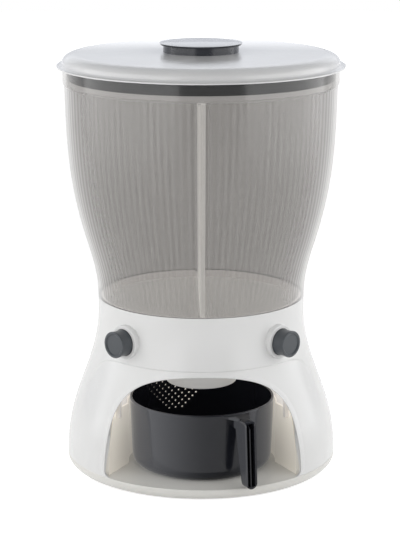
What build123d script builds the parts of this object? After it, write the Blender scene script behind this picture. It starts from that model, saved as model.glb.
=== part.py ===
from build123d import *
import math
import os

# Two-compartment dry-food dispenser on a flared base, in millimetres.
# +Z is up, the front (the arch, the buttons and the bowl) faces -Y, and +X is to the right.
# The origin is on the surface it stands on, under the centre of the bin.

# ---------------------------------------------------------------- driving sizes

# Clearances
slide_gap = 0.3           # between faces of different bodies that slide or lift past each other
running_gap = 0.08        # radial fit of a push rod in its guide
seat_gap = 0.2            # round a piece that sits in a socket of the same body

# Tray under the dispenser and the pads it stands on
pad_stand = 1.5           # how far the rubber pads hold the tray off the surface
pad_depth = 3.0
pad_radius = 8.0
pad_inset = 33.0          # from the tray's edge to the pads' centres
floor_height = 12.0       # floor of the bay, and the joint between tray and shell
floor_thickness = 2.6
tray_radius = 145.0
tray_toe_inset = 4.0      # how far the toe turns in at the bottom
tray_belly_inset = 0.6    # and at the height of its belly
tray_toe_height = 5.5
tray_wall = 3.0
tray_edge_round = 1.0     # at the rim of the floor
tray_rib_width = 2.0
tray_rib_rise = 2.0       # the ribs stop this far above the tray's lower edge
tray_ring_radii = (40.0, 80.0)
tray_rib_count = 6

# Outer shell of the base
shell_wall = 3.0
knee_inset, knee_height = 7.4, 64.0       # insets count from the tray's edge
flank_inset, flank_height = 25.8, 117.0
collar_inset = 34.6
waist_rise = 16.5         # the collar is straight from here, counted from the buttons
collar_rise = 32.5        # and ends here
ledge_rise = 22.0         # top of the ring that carries the hopper, counted the same way
ledge_thickness = 3.0
ledge_reach = 2.9

# Arched opening at the front of the shell
arch_half_width = 102.2
arch_hip_half_width, arch_hip_height = 99.0, 50.0
arch_shoulder_half_width, arch_shoulder_height = 89.0, 83.0
arch_haunch_half_width, arch_haunch_height = 68.0, 107.0
arch_crown_half_width, arch_crown_height = 33.0, 120.0
arch_apex_height = 122.5
arch_toe_radius = 6.0     # rounding where the opening meets the floor
arch_lip_depth = 6.5      # how deep the edge of the opening turns in
arch_lip_thickness = 3.0
return_start = 0.4        # the slanted return beside the legs starts this deep in the lip
return_root = 0.5         # and this far outside the edge of the opening
return_overlap = 1.5      # how far it reaches into the lip
return_overshoot = 1.0    # how far it is drawn past the lip's depth before it is trimmed
return_stations = 5       # heights that its surface passes through

# Shallow recess round the arch
recess_depth = 1.6
recess_top_height = 130.0
recess_top_half_width = 97.0
recess_corner_half_width, recess_corner_height = 108.3, 120.5
recess_side_half_width, recess_side_height = 119.0, 99.0
recess_wide_half_width, recess_wide_height = 124.5, 70.0
recess_end_half_width, recess_end_height = 114.0, 52.0
front_start = 30.0        # the front wall lies further out than this
recess_end_rise = 0.5     # how far the fading skin has left the flank at its lower end
recess_stations = 9       # points that the fading skin passes through
outline_steps = 10        # points that a grown outline keeps

# Bowl
bowl_centre_y = -49.0
bowl_turn = 27.5          # degrees that the handle stands to the right of the front
bowl_rim_radius = 76.5
bowl_draft = 2.5          # how much narrower the bowl is at its base
bowl_height = 73.0
bowl_wall = 2.0
bowl_heel_radius = 11.0
bowl_lip_radius = 1.4     # half the thickness of the rounded rim
bowl_lip_run = 1.0        # height over which the rim thins down to the wall
drain_hole_radius = 1.15
drain_reach = 8.0         # how far each drill runs past the wall, inside and outside
drain_rows = 9
drain_lowest_count = 3    # holes in the lowest row; each row above has one more
drain_lowest_height = 36.9
drain_row_pitch = 3.87
drain_step_angle = 6.0
drain_turn = -5.5         # degrees from the place opposite the handle

# Handle of the bowl
handle_width = 13.0
handle_wall = 2.2
handle_reach = 27.0       # from the rim to the outer face at the top
handle_flare = 4.0        # how much further out the lower end stands
handle_top_depth = 19.0
handle_end_depth = 9.0
handle_drop = 72.4        # from the rim down to the lower end
handle_arm_depth = 10.0   # of the arm that joins it to the bowl
handle_arm_slope = 2.0    # how much lower the arm's underside ends at the handle
handle_bite = 0.01        # how far the arm reaches into the bowl's wall
handle_shoulder_radius = 4.5   # upper corners seen from outside
handle_bend_radius = 6.0
handle_rib_width = 1.2
handle_rib_inset = 1.5
handle_rib_root = 0.5     # how far the rib reaches into the channel's ends
handle_slot_lean = 2.0    # how much lower the channel's top is at its far end
root_width = 30.0         # of the arm's top where it leaves the rim
root_run_in = 6.0         # how far along the handle's top it narrows

# Bay walls behind the arch
bay_clearance = 1.8       # between the bowl's rim and the curved wall behind it
bay_mouth_half_width = 99.4
bay_mouth_inset = 43.8    # from the tray's edge back to where that width is measured
bay_flare_angle = 26.7
liner_wall = 2.4
liner_height = 78.0
hood_step = 1.2           # the upper wall stands this much further out
hood_ceiling_drop = 25.5  # from the buttons' axes down to the bay's ceiling
hood_ceiling_thickness = 2.6
hood_tab_width = 4.6      # tongues of the upper wall that lap over the lower one
hood_tab_thickness = 4.8
hood_tab_low, hood_tab_high = 70.0, 94.0
hood_tab_run = 24.0       # from the bay's narrowest place out along the wall

# Push buttons
button_azimuth = 45.0
button_height = 151.5
button_radius = 14.0
button_stand = 19.6       # how far the face stands out from the collar's radius
button_length = 21.0
button_waist = 0.5
button_wall = 2.2
button_dish_depth = 1.2
button_rim_width = 2.4
button_edge_round = 0.9
button_travel = 12.0
socket_radius = 6.2
socket_length = 15.0
bezel_radius = 18.0
bezel_stand = 5.6         # how far the bezel stands out from the collar's radius
bezel_depth = 15.5
bezel_edge_round = 1.6
bezel_flange_radius = 20.5
bezel_flange_thickness = 3.0

# Gates
rod_radius = 4.0
rod_insertion = 12.0
guide_thickness = 3.0
guide_half_width = 9.0
guide_inset = 17.4        # from the collar's radius in to the guide wall
guide_top_margin = 4.0
gate_thickness = 3.0
gate_half_width = 16.0
gate_inner_end = 28.5
gate_web_thickness = 3.7
gate_web_half_width = 8.0
outlet_length = 11.0      # along the travel
outlet_width = 26.0
outlet_distance = 36.0
carrier_floor = 2.6
carrier_radius = 50.0
carrier_side = 2.4
carrier_arm_half_width = 18.7

# Springs
spring_radius = 8.6
spring_wire = 1.2
spring_turns = 7

# Chute
chute_centre_y = -17.0
chute_inset = 38.8        # from the bowl's rim in to the chute's outside
chute_wall = 2.2
chute_length = 34.0
chute_throat_drop = 16.0  # from the ceiling down to where the chute is straight
chute_top_flare = 4.3
chute_flange_width = 4.0
chute_flange_thickness = 2.6
chute_lip_height = 1.0

# Hopper
hopper_flange_thickness = 2.5
hopper_rim = 7.2          # width of the flange round the funnels
hopper_wall = 2.4
hopper_ridge_half_width = 4.0
hopper_slot_depth = 8.0
hopper_corner_azimuth = 62.0
hopper_chord_split_y = -30.0

# Bin
bin_wall = 2.6
plug_wall = 2.6
neck_flare, neck_rise = 3.8, 33.0         # out from the collar, and up from its top
flare_inset, flare_rise = 21.5, 66.0      # insets count from the rim's collar
belly_inset, belly_rise = 8.2, 125.0
shoulder_inset, shoulder_rise = 3.1, 182.0
mouth_inset, mouth_rise = 1.8, 227.0
rim_overhang = 0.1        # how far the rim's collar stands out past the tray
rim_collar_length = 16.5
rim_step_inset = 2.8
rim_step_length = 10.5
rim_chamfer = 1.0
channel_rib_thickness = 3.0
channel_rib_depth = 6.0

# Divider between the two compartments
divider_thickness = 4.0
divider_drop = 3.0        # from the bin's mouth down to the divider's top
divider_gap = 0.4

# Lid
lid_wall = 2.4
lid_lip_overhang = 5.9    # lip and skirt stand out past the rim's collar
lid_skirt_overhang = 0.1
lid_lip_drop = 9.3        # from the bin's top down to the lip
lid_skirt_drop = 4.0
lid_lip_thickness = 1.3
lid_shoulder_width = 15.2
lid_thickness_over_rim = 4.6
lid_crown = 0.8           # rise of the top from its edge to the knob
lid_plug_gap = 3.7        # room for the seal between the plug and the bin
lid_plug_wall = 2.4
lid_plug_length = 29.0    # below the bin's top
seal_length = 15.5
seal_set_up = 2.5         # from the plug's lower edge up to the seal
seal_lip = 1.0            # how deep the wiping edges of the seal stand out

# Knob
knob_wall_radius = 39.7
knob_overhang = 3.5
knob_rim_thickness = 3.2
knob_edge_inset = 1.6     # rounding of the rim, across and round
knob_edge_round = 2.4
knob_height = 10.6
knob_wall = 2.4
knob_dish_depth = 1.0
knob_dish_inset = 2.7     # from the wall in to the dish
knob_dish_bevel = 2.0
knob_boss_radius = 4.5
knob_screw_circle = 24.0
knob_screw_count = 3

# Screws
screw_radius = 1.5
screw_head_radius = 3.4
screw_head_thickness = 2.0
screw_length = 14.0
knob_screw_length = 9.0
pilot_gap = 0.1
shell_boss_radius = 5.0
shell_boss_inset = 16.0   # from the tray's edge
shell_boss_height = 30.0
shell_boss_rib = 2.0
shell_boss_azimuths = (72, 135, 225, 288)

# ---------------------------------------------------------------- worked-out sizes

tray_bottom = pad_stand
tray_toe_radius = tray_radius - tray_toe_inset
pad_circle_radius = tray_radius - pad_inset
shell_boss_circle = tray_radius - shell_boss_inset
knee_radius = tray_radius - knee_inset
flank_radius = tray_radius - flank_inset
collar_radius = tray_radius - collar_inset
waist_height = button_height + waist_rise
collar_height = button_height + collar_rise
ledge_height = button_height + ledge_rise
bay_mouth_y = bay_mouth_inset - tray_radius
button_face = collar_radius + button_stand
bezel_face = collar_radius + bezel_stand
bezel_back = bezel_face - bezel_depth
guide_distance = collar_radius - guide_inset
hood_ceiling_height = button_height - hood_ceiling_drop
bowl_base_radius = bowl_rim_radius - bowl_draft
chute_radius = bowl_rim_radius - chute_inset
chute_bottom = hood_ceiling_height - chute_length
chute_throat_height = hood_ceiling_height - chute_throat_drop
chute_top_radius = chute_radius + chute_top_flare
chute_flange_radius = chute_top_radius + chute_flange_width
hood_top = hood_ceiling_height + hood_ceiling_thickness
gate_bottom = hood_top + carrier_floor + slide_gap
gate_top = gate_bottom + gate_thickness
outlet_bottom = gate_top + slide_gap
hopper_top = ledge_height + hopper_flange_thickness
plug_radius = collar_radius - shell_wall - seat_gap
bay_back_radius = bowl_rim_radius + bay_clearance
bowl_bottom = floor_height
bowl_rim_height = bowl_bottom + bowl_height
button_back = button_face - button_length
button_seat = button_face - button_dish_depth - button_wall
rod_end = button_seat - (socket_length - rod_insertion)
guide_outer = guide_distance + guide_thickness
web_outer = guide_distance - slide_gap
hopper_radius = plug_radius - hopper_rim
rim_collar_radius = tray_radius + rim_overhang
rim_step_radius = rim_collar_radius - rim_step_inset
neck_radius, neck_height = collar_radius + neck_flare, collar_height + neck_rise
flare_radius, flare_height = rim_collar_radius - flare_inset, collar_height + flare_rise
belly_radius, belly_height = rim_collar_radius - belly_inset, collar_height + belly_rise
shoulder_radius, shoulder_height = rim_collar_radius - shoulder_inset, collar_height + shoulder_rise
mouth_radius, mouth_height = rim_collar_radius - mouth_inset, collar_height + mouth_rise
rim_collar_height = mouth_height + rim_collar_length
bin_top = rim_collar_height + rim_step_length
divider_top = mouth_height - divider_drop
lid_lip_radius, lid_lip_height = rim_collar_radius + lid_lip_overhang, bin_top - lid_lip_drop
lid_skirt_radius, lid_skirt_height = rim_collar_radius + lid_skirt_overhang, bin_top - lid_skirt_drop
lid_top_edge_radius = lid_skirt_radius - lid_shoulder_width
lid_top = bin_top + lid_thickness_over_rim
lid_plug_radius = mouth_radius - bin_wall - lid_plug_gap
lid_plug_bottom = bin_top - lid_plug_length
seal_bottom = lid_plug_bottom + seal_set_up
seal_top = seal_bottom + seal_length
lid_underside = lid_top - lid_wall
knob_bottom = lid_top + lid_crown
knob_top = knob_bottom + knob_height
knob_top_radius = knob_wall_radius + knob_overhang
knob_dish_radius = knob_wall_radius - knob_dish_inset
knob_seat = knob_top - knob_dish_depth


# ---------------------------------------------------------------- shared shapes

def turned(outline):
    """Solid of revolution about the dispenser's axis, of a face drawn as radius and height."""
    return revolve(Plane.XZ * outline, Axis.Z)


def turned_on_button(outline):
    """Solid of revolution about the front button axis, of a face drawn as radius and distance."""
    plane = Plane(origin=(0, 0, button_height), x_dir=(1, 0, 0), z_dir=(0, 0, 1))
    flipped = Location(plane) * Rot(0, 0, 180) * outline
    return revolve(flipped, Axis((0, 0, button_height), (0, -1, 0)))


def column(radius, low, high, x=0, y=0):
    """Upright cylinder between two heights."""
    return extrude(Plane.XY.offset(low) * Pos(x, y) * Circle(radius), high - low)


def around(radius, azimuth):
    """Point at a radius and an azimuth counted from the front towards the right."""
    angle = math.radians(azimuth)
    return (radius * math.sin(angle), -radius * math.cos(angle))


def to_side(shape, side):
    """Turn a piece drawn at the front to the button on the left (-1) or on the right (+1)."""
    return Rot(0, 0, side * button_azimuth) * shape


def shell_curve(inset):
    """Flank of the base from the tray joint up to the collar, moved in by an inset."""
    stations = (
        (tray_radius, floor_height),
        (knee_radius, knee_height),
        (flank_radius, flank_height),
        (collar_radius, waist_height),
    )
    inner = [(radius - inset, height) for radius, height in stations]
    flank = Spline(*inner, tangents=[(0, 1), (0, 1)])
    return Wire([flank, Line(flank @ 1, (collar_radius - inset, collar_height))])


def shell_body(inset):
    """Everything inside the base flank moved in by an inset."""
    flank = shell_curve(inset)
    closing = Polyline(flank @ 1, (0, collar_height), (0, floor_height), flank @ 0)
    return turned(make_face(flank.edges() + closing.edges()))


def bin_curve(inset, low_radius):
    """Flank of the bin from the collar up to the mouth, moved in by an inset."""
    stations = (
        (neck_radius, neck_height),
        (flare_radius, flare_height),
        (belly_radius, belly_height),
        (shoulder_radius, shoulder_height),
        (mouth_radius, mouth_height),
    )
    inner = [(radius - inset, height) for radius, height in stations]
    return Spline((low_radius, collar_height), *inner)


def moved_out(curve, grow):
    """Curve that keeps a distance from a flat curve, on the right of its direction."""
    if not grow:
        return curve
    points = []
    for index in range(outline_steps + 1):
        share = index / outline_steps
        along = curve % share
        points.append(curve @ share + Vector(along.Y, -along.X) * grow)
    return Spline(*points, tangents=[curve % 0, curve % 1])


def mirrored_face(edges):
    """Face of a right-hand outline and its mirror image."""
    half = make_face(edges)
    return half + mirror(half, Plane.YZ)


def arch_side():
    """Right-hand edge of the arched opening seen from the front, from its toe up to the apex."""
    stations = (
        (arch_half_width, floor_height + arch_toe_radius),
        (arch_hip_half_width, arch_hip_height),
        (arch_shoulder_half_width, arch_shoulder_height),
        (arch_haunch_half_width, arch_haunch_height),
        (arch_crown_half_width, arch_crown_height),
        (0, arch_apex_height),
    )
    return Spline(*stations, tangents=[(0, 1), (-1, 0)])


def arch_outline(grow):
    """Face of the arched opening seen from the front, grown outwards."""
    side = moved_out(arch_side(), grow)
    if grow:
        toe = Line((arch_half_width + grow, floor_height), side @ 0)
    else:
        toe = RadiusArc((arch_half_width - arch_toe_radius, floor_height), side @ 0, -arch_toe_radius)
    return mirrored_face(toe + side + Polyline(toe @ 0, (0, floor_height), side @ 1))


def recess_outline(grow):
    """Face of the recessed panel round the arch, seen from the front and grown outwards."""
    side = Spline(
        (recess_end_half_width, recess_end_height),
        (recess_wide_half_width, recess_wide_height),
        (recess_side_half_width, recess_side_height),
        (recess_corner_half_width, recess_corner_height),
        (recess_top_half_width, recess_top_height),
        tangents=[(1, 0.8), (-1, 0.3)],
    )
    side = moved_out(side, grow)
    top = (side @ 1).Y
    return mirrored_face(side + Polyline(side @ 1, (0, top), (0, recess_end_height), side @ 0))


def through_front(face):
    """Prism of a front-view face from behind the front wall out past the tray."""
    return extrude(Plane.XZ.offset(front_start) * face, tray_radius)


def bay_wall(grow, along):
    """Point in plan on the bay's right-hand wall, counted along it from the bowl's nearest point."""
    flare = math.radians(bay_flare_angle)
    distance = bay_wall_distance(grow)
    x = distance * math.cos(flare) + along * math.sin(flare)
    y = bowl_centre_y + distance * math.sin(flare) - along * math.cos(flare)
    return (x, y)


def bay_wall_distance(grow):
    """Distance from the bowl's axis to the straight part of the bay's wall."""
    flare = math.radians(bay_flare_angle)
    offset_y = bay_mouth_y - bowl_centre_y
    return bay_mouth_half_width * math.cos(flare) + offset_y * math.sin(flare) + grow


def run_to_radius(grow, radius):
    """Run along the bay's wall at which it reaches a radius from the dispenser's axis."""
    start, step = bay_wall(grow, 0), bay_wall(grow, 1)
    slope = start[0] * (step[0] - start[0]) + start[1] * (step[1] - start[1])
    return math.sqrt(slope ** 2 - start[0] ** 2 - start[1] ** 2 + radius ** 2) - slope


def bay_pinch(grow):
    """Run along the wall at which its straight part meets the arc behind the bowl."""
    return math.sqrt((bay_back_radius + grow) ** 2 - bay_wall_distance(grow) ** 2)


def bay_plan(grow):
    """Plan of the bay: an arc behind the bowl, and walls that open out to the front."""
    flare = math.radians(bay_flare_angle)
    mouth_drop = tray_radius + bowl_centre_y + bay_wall_distance(grow) * math.sin(flare)
    pinch = bay_wall(grow, bay_pinch(grow))
    mouth = bay_wall(grow, mouth_drop / math.cos(flare))
    back_y = bowl_centre_y + bay_back_radius + grow
    back = ThreePointArc(pinch, (0, back_y), (-pinch[0], pinch[1]))
    front = Polyline((-pinch[0], pinch[1]), (-mouth[0], mouth[1]), mouth, pinch)
    return make_face(back + front)


# ---------------------------------------------------------------- base

def make_base_tray():
    """Dished tray whose top is the floor of the bay."""
    toe = Spline(
        (tray_toe_radius, tray_bottom),
        (tray_radius - tray_belly_inset, tray_toe_height),
        (tray_radius, floor_height - tray_edge_round),
        tangents=[(0.9, 1), (0, 1)],
    )
    edge = RadiusArc(toe @ 1, (tray_radius - tray_edge_round, floor_height), -tray_edge_round)
    inner_radius = tray_toe_radius - tray_wall
    closing = Polyline(
        edge @ 1,
        (0, floor_height),
        (0, floor_height - floor_thickness),
        (inner_radius, floor_height - floor_thickness),
        (inner_radius, tray_bottom),
        toe @ 0,
    )
    tray = turned(make_face(toe + edge + closing))
    under = floor_height - floor_thickness
    low = tray_bottom + tray_rib_rise
    half = tray_rib_width / 2
    for radius in tray_ring_radii:
        tray += column(radius + half, low, under) - column(radius - half, low, under)
    start = tray_ring_radii[0]
    step = 360 / tray_rib_count
    for index in range(tray_rib_count):
        rib = Pos(0, -(inner_radius + tray_wall + start) / 2) * Rectangle(
            tray_rib_width, inner_radius + tray_wall / 2 - start
        )
        rib = extrude(Plane.XY.offset(low) * rib, under - low)
        tray += Rot(0, 0, (index + 0.5) * step) * rib
    for x, y in pad_places():
        tray += column(pad_radius + tray_wall, tray_bottom, under, x, y)
        tray -= column(pad_radius, tray_bottom, pad_depth, x, y)
    for x, y in boss_places():
        tray += column(screw_head_radius + tray_wall, low, under, x, y)
        tray -= column(screw_head_radius + seat_gap, tray_bottom, under - screw_head_thickness, x, y)
        tray -= column(screw_radius + pilot_gap, tray_bottom, floor_height, x, y)
    return tray


def pad_places():
    """Centres of the four rubber pads."""
    return [around(pad_circle_radius, azimuth) for azimuth in (45, 135, 225, 315)]


def boss_places():
    """Centres of the bosses that join tray and shell."""
    return [around(shell_boss_circle, azimuth) for azimuth in shell_boss_azimuths]


def make_rubber_pads():
    """Round pads in sockets under the tray."""
    return [column(pad_radius - seat_gap, 0, pad_depth, x, y) for x, y in pad_places()]


def make_base_shell():
    """Flared shell with the arch, its turned-in lip and recess, and the button holes."""
    outer = shell_body(0)
    shell = outer - shell_body(shell_wall)
    panel = through_front(recess_outline(recess_depth)) & (outer - shell_body(shell_wall + recess_depth))
    shell += panel
    lip = through_front(arch_outline(arch_lip_thickness)) & (outer - shell_body(arch_lip_depth))
    shell += lip
    shell -= through_front(arch_outline(0))
    slant = arch_return() & (outer - shell_body(arch_lip_depth))
    shell += slant
    shell += mirror(slant, Plane.YZ)
    shell -= recess_cutter()
    shell += ledge_ring()
    for side in (-1, 1):
        shell -= to_side(rod_cylinder(bezel_radius, bezel_back, button_face), side)
    for azimuth in shell_boss_azimuths:
        shell += shell_boss(azimuth)
    return shell


def arch_return():
    """Slanted return from the arch's right-hand edge to the front of the bay's wall."""
    flank = shell_curve(0)
    side = arch_side()
    sections = []
    for index in range(return_stations):
        height = floor_height + index / (return_stations - 1) * (liner_height - floor_height)
        radius = width_at(flank, height)
        edge = min(arch_half_width, width_at(side, height))
        near, far = radius - return_start, radius - arch_lip_depth - return_overshoot
        root, base = edge + return_root, edge + return_overlap
        sections.append(Plane.XY.offset(height) * make_face(Polyline(
            (root, -math.sqrt(near ** 2 - root ** 2)),
            bay_wall(0, run_to_radius(0, far)),
            (base, -math.sqrt(far ** 2 - base ** 2)),
            (base, -math.sqrt(near ** 2 - base ** 2)),
            close=True,
        )))
    return loft(sections)


def shell_boss(azimuth):
    """Screw boss inside the shell, with the rib that ties it to the wall."""
    x, y = around(shell_boss_circle, azimuth)
    boss = column(shell_boss_radius, floor_height, floor_height + shell_boss_height, x, y)
    length = tray_radius - shell_boss_circle
    rib = Pos(0, -shell_boss_circle - length / 2) * Rectangle(shell_boss_rib, length)
    rib_height = shell_boss_height - shell_boss_radius
    boss += Rot(0, 0, azimuth) * extrude(Plane.XY.offset(floor_height) * rib, rib_height)
    boss = boss & shell_body(shell_wall / 2)
    return boss - column(screw_radius, floor_height, floor_height + screw_length, x, y)


def recess_cutter():
    """Skin taken off round the arch, fading to nothing down the legs."""
    flank = shell_curve(0)
    points = []
    for index in range(recess_stations):
        height = recess_top_height + index / (recess_stations - 1) * (recess_end_height - recess_top_height)
        share = min(1.0, (height - recess_end_height) / (flank_height - recess_end_height))
        depth = (recess_depth + recess_end_rise) * share * share * (3 - 2 * share) - recess_end_rise
        points.append((width_at(flank, height) - depth, height))
    inner = Spline(*points)
    far = tray_radius + recess_depth
    closing = Polyline(inner @ 1, (far, recess_end_height), (far, recess_top_height), inner @ 0)
    return turned(make_face(inner + closing)) & through_front(recess_outline(0))


def width_at(curve, height):
    """First coordinate of a rising curve at a height, found by halving its length."""
    low, high = 0.0, 1.0
    for _ in range(40):
        middle = (low + high) / 2
        if (curve @ middle).Y < height:
            low = middle
        else:
            high = middle
    return (curve @ low).X


def ledge_ring():
    """Ring inside the collar that the hopper's flange sits on."""
    low = ledge_height - ledge_thickness
    wall = shell_wall / 2
    outer = column(collar_radius - wall, low, ledge_height)
    return outer - column(collar_radius - shell_wall - ledge_reach, low, ledge_height)


def rod_cylinder(radius, near, far):
    """Cylinder on the front button axis between two distances."""
    plane = Plane(origin=(0, -near, button_height), z_dir=(0, -1, 0))
    return extrude(plane * Circle(radius), far - near)


def make_bay_liner():
    """Lower wall of the bay, standing on the floor."""
    ring = bay_plan(liner_wall) - bay_plan(0)
    wall = extrude(Plane.XY.offset(floor_height) * ring, liner_height - floor_height)
    return wall & shell_body(arch_lip_depth + seat_gap)


def make_bay_hood():
    """Upper wall of the bay with the ceiling that carries the gates."""
    outer = bay_plan(hood_step + liner_wall)
    ring = outer - bay_plan(hood_step)
    wall = extrude(Plane.XY.offset(liner_height) * ring, hood_ceiling_height - liner_height)
    ceiling = extrude(Plane.XY.offset(hood_ceiling_height) * outer, hood_ceiling_thickness)
    wall += hood_tab()
    wall += mirror(hood_tab(), Plane.YZ)
    hood = (wall + ceiling) & shell_body(arch_lip_depth + seat_gap)
    return hood - column(chute_top_radius, hood_ceiling_height, hood_top, 0, chute_centre_y)


def hood_tab():
    """Tongue on the right-hand upper wall that laps over the face of the lower wall."""
    start = bay_pinch(0) + hood_tab_run
    end = start + hood_tab_width
    front = -hood_tab_thickness
    lap = make_face(Polyline(
        bay_wall(front, start), bay_wall(0, start), bay_wall(0, end), bay_wall(front, end), close=True
    ))
    root = make_face(Polyline(
        bay_wall(front, start), bay_wall(hood_step, start), bay_wall(hood_step, end), bay_wall(front, end),
        close=True,
    ))
    lapped = extrude(Plane.XY.offset(hood_tab_low) * lap, liner_height - hood_tab_low)
    return lapped + extrude(Plane.XY.offset(liner_height) * root, hood_tab_high - liner_height)


def make_chute():
    """Round outlet that hangs from the ceiling over the bowl."""
    inner = chute_radius - chute_wall
    top = hood_ceiling_height
    outline = Polyline(
        (inner, chute_bottom + chute_lip_height),
        (inner, chute_throat_height),
        (chute_top_radius, top),
        (chute_flange_radius, top),
        (chute_flange_radius, top - chute_flange_thickness),
        (chute_top_radius + chute_wall, top - chute_flange_thickness),
        (chute_radius, chute_throat_height),
        (chute_radius, chute_bottom + chute_lip_height),
    )
    lip = ThreePointArc(outline @ 1, ((inner + chute_radius) / 2, chute_bottom), outline @ 0)
    return Pos(0, chute_centre_y) * turned(make_face(outline + lip))


# ---------------------------------------------------------------- gates and buttons

def make_gate_carrier():
    """Plate with two guide channels, an arm to each button and a wall that guides its rod."""
    carrier = column(carrier_radius, hood_top, hood_top + carrier_floor)
    carrier += column(carrier_radius, hood_top, outlet_bottom)
    for side in (-1, 1):
        carrier += to_side(carrier_arm(), side)
    for side in (-1, 1):
        carrier -= to_side(gate_channel(), side)
        window = front_block(outlet_width / 2, outlet_distance, outlet_length, hood_top, gate_bottom)
        carrier -= to_side(window, side)
    return carrier


def front_block(half_width, centre, length, low, high):
    """Block on the front centre line, given by its middle distance, length and heights."""
    return extrude(Plane.XY.offset(low) * Pos(0, -centre) * Rectangle(2 * half_width, length), high - low)


def carrier_arm():
    """Arm out to one button, with side walls for the gate and the guide wall at its end."""
    arm = front_block(carrier_arm_half_width, guide_outer / 2, guide_outer, hood_top, outlet_bottom)
    guide = front_block(
        guide_half_width, guide_distance + guide_thickness / 2, guide_thickness,
        hood_top, button_height + rod_radius + guide_top_margin,
    )
    reach = guide_thickness
    return arm + guide - rod_cylinder(rod_radius + running_gap, guide_distance - reach, guide_outer + reach)


def gate_channel():
    """Space that one gate slides in."""
    width = gate_half_width + slide_gap
    start = gate_inner_end - button_travel - slide_gap
    length = guide_distance - start
    return front_block(width, start + length / 2, length, gate_bottom - slide_gap, outlet_bottom)


def make_gate_slide(side):
    """Gate plate with its window, the upright web and the push rod, in one moulding."""
    length = web_outer - gate_inner_end
    plate = front_block(gate_half_width, gate_inner_end + length / 2, length, gate_bottom, gate_top)
    window_centre = outlet_distance + button_travel
    plate -= front_block(outlet_width / 2, window_centre, outlet_length, gate_bottom, gate_top)
    web_centre = web_outer - gate_web_thickness / 2
    web_top = button_height + rod_radius
    web = front_block(gate_web_half_width, web_centre, gate_web_thickness, gate_bottom, web_top)
    rod = rod_cylinder(rod_radius, web_outer - gate_web_thickness, rod_end)
    return to_side(plate + web + rod, side)


def make_button(side):
    """Hollow push button with a dished face, a waisted side and a socket for its rod."""
    face = button_face
    rim = button_radius - button_rim_width
    edge = button_edge_round
    waist = (button_radius - button_waist, (face + bezel_face) / 2)
    side_curve = Spline(
        (button_radius, bezel_face - button_travel / 2), waist, (button_radius, face - edge),
        tangents=[(0, 1), (0.1, 1)],
    )
    corner = RadiusArc(side_curve @ 1, (button_radius - edge, face), -edge)
    inner_radius = button_radius - button_wall
    outline = Polyline(
        corner @ 1,
        (rim, face),
        (rim - button_dish_depth, face - button_dish_depth),
        (0, face - button_dish_depth),
        (0, rod_end),
        (rod_radius, rod_end),
        (rod_radius, button_seat - socket_length),
        (socket_radius, button_seat - socket_length),
        (socket_radius, button_seat),
        (inner_radius, button_seat),
        (inner_radius, button_back),
        (button_radius, button_back),
        side_curve @ 0,
    )
    return to_side(turned_on_button(make_face(side_curve + corner + outline)), side)


def make_button_bezel(side):
    """Raised collar round the button, with a flange behind the shell."""
    bore = button_radius + slide_gap
    round_off = bezel_edge_round
    corner = RadiusArc(
        (bezel_radius, bezel_face - round_off), (bezel_radius - round_off, bezel_face), -round_off
    )
    outline = Polyline(
        corner @ 1,
        (bore, bezel_face),
        (bore, bezel_back),
        (bezel_flange_radius, bezel_back),
        (bezel_flange_radius, bezel_back + bezel_flange_thickness),
        (bezel_radius, bezel_back + bezel_flange_thickness),
        corner @ 0,
    )
    return to_side(turned_on_button(make_face(corner + outline)), side)


def make_return_spring(side):
    """Coil spring on the rod, between the guide wall and the inside of the button."""
    near = guide_outer + spring_wire / 2
    far = button_seat - spring_wire / 2
    length = far - near
    path = Helix(
        pitch=length / spring_turns, height=length, radius=spring_radius,
        center=(0, -near, button_height), direction=(0, -1, 0),
    )
    section = Plane(origin=path @ 0, z_dir=path % 0) * RegularPolygon(spring_wire / 2, 6)
    return to_side(sweep(section, path, is_frenet=True), side)


# ---------------------------------------------------------------- hopper, bin and divider

def funnel(side, grow, top, bottom):
    """Solid funnel of one compartment, from a half disc down to its outlet."""
    radius = hopper_radius + grow
    chord = hopper_ridge_half_width - grow
    reach = math.sqrt(radius ** 2 - chord ** 2)
    corner = around(radius, hopper_corner_azimuth)
    front, back = (chord, -reach), (chord, reach)
    split = (chord, hopper_chord_split_y)
    mid_front = around(radius, (hopper_corner_azimuth + math.degrees(math.asin(chord / radius))) / 2)
    mid_back = around(radius, (hopper_corner_azimuth + 180) / 2)
    upper = make_face(
        ThreePointArc(front, mid_front, corner)
        + ThreePointArc(corner, mid_back, back)
        + Line(back, split)
        + Line(split, front)
    )
    half_length = outlet_length / 2 + grow
    half_width = outlet_width / 2 + grow
    corners = []
    for along, across in ((1, -1), (1, 1), (-1, 1), (-1, -1)):
        local = (across * half_width, -(outlet_distance + along * half_length))
        corners.append(local)
    lower = Rot(0, 0, button_azimuth) * make_face(Polyline(*corners, close=True))
    body = loft([Plane.XY.offset(bottom) * lower, Plane.XY.offset(top) * upper], ruled=True)
    return body if side > 0 else mirror(body, Plane.YZ)


def make_hopper():
    """Two funnels under a flange, with a slot between them for the divider."""
    flange = column(plug_radius, ledge_height, hopper_top)
    hopper = flange
    for side in (-1, 1):
        hopper += funnel(side, hopper_wall, hopper_top, outlet_bottom)
    for side in (-1, 1):
        hopper -= funnel(side, 0, hopper_top, outlet_bottom)
    slot = Pos(0, 0, hopper_top - hopper_slot_depth / 2) * Box(
        divider_thickness + seat_gap, 2 * hopper_radius, hopper_slot_depth
    )
    return hopper - slot


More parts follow.
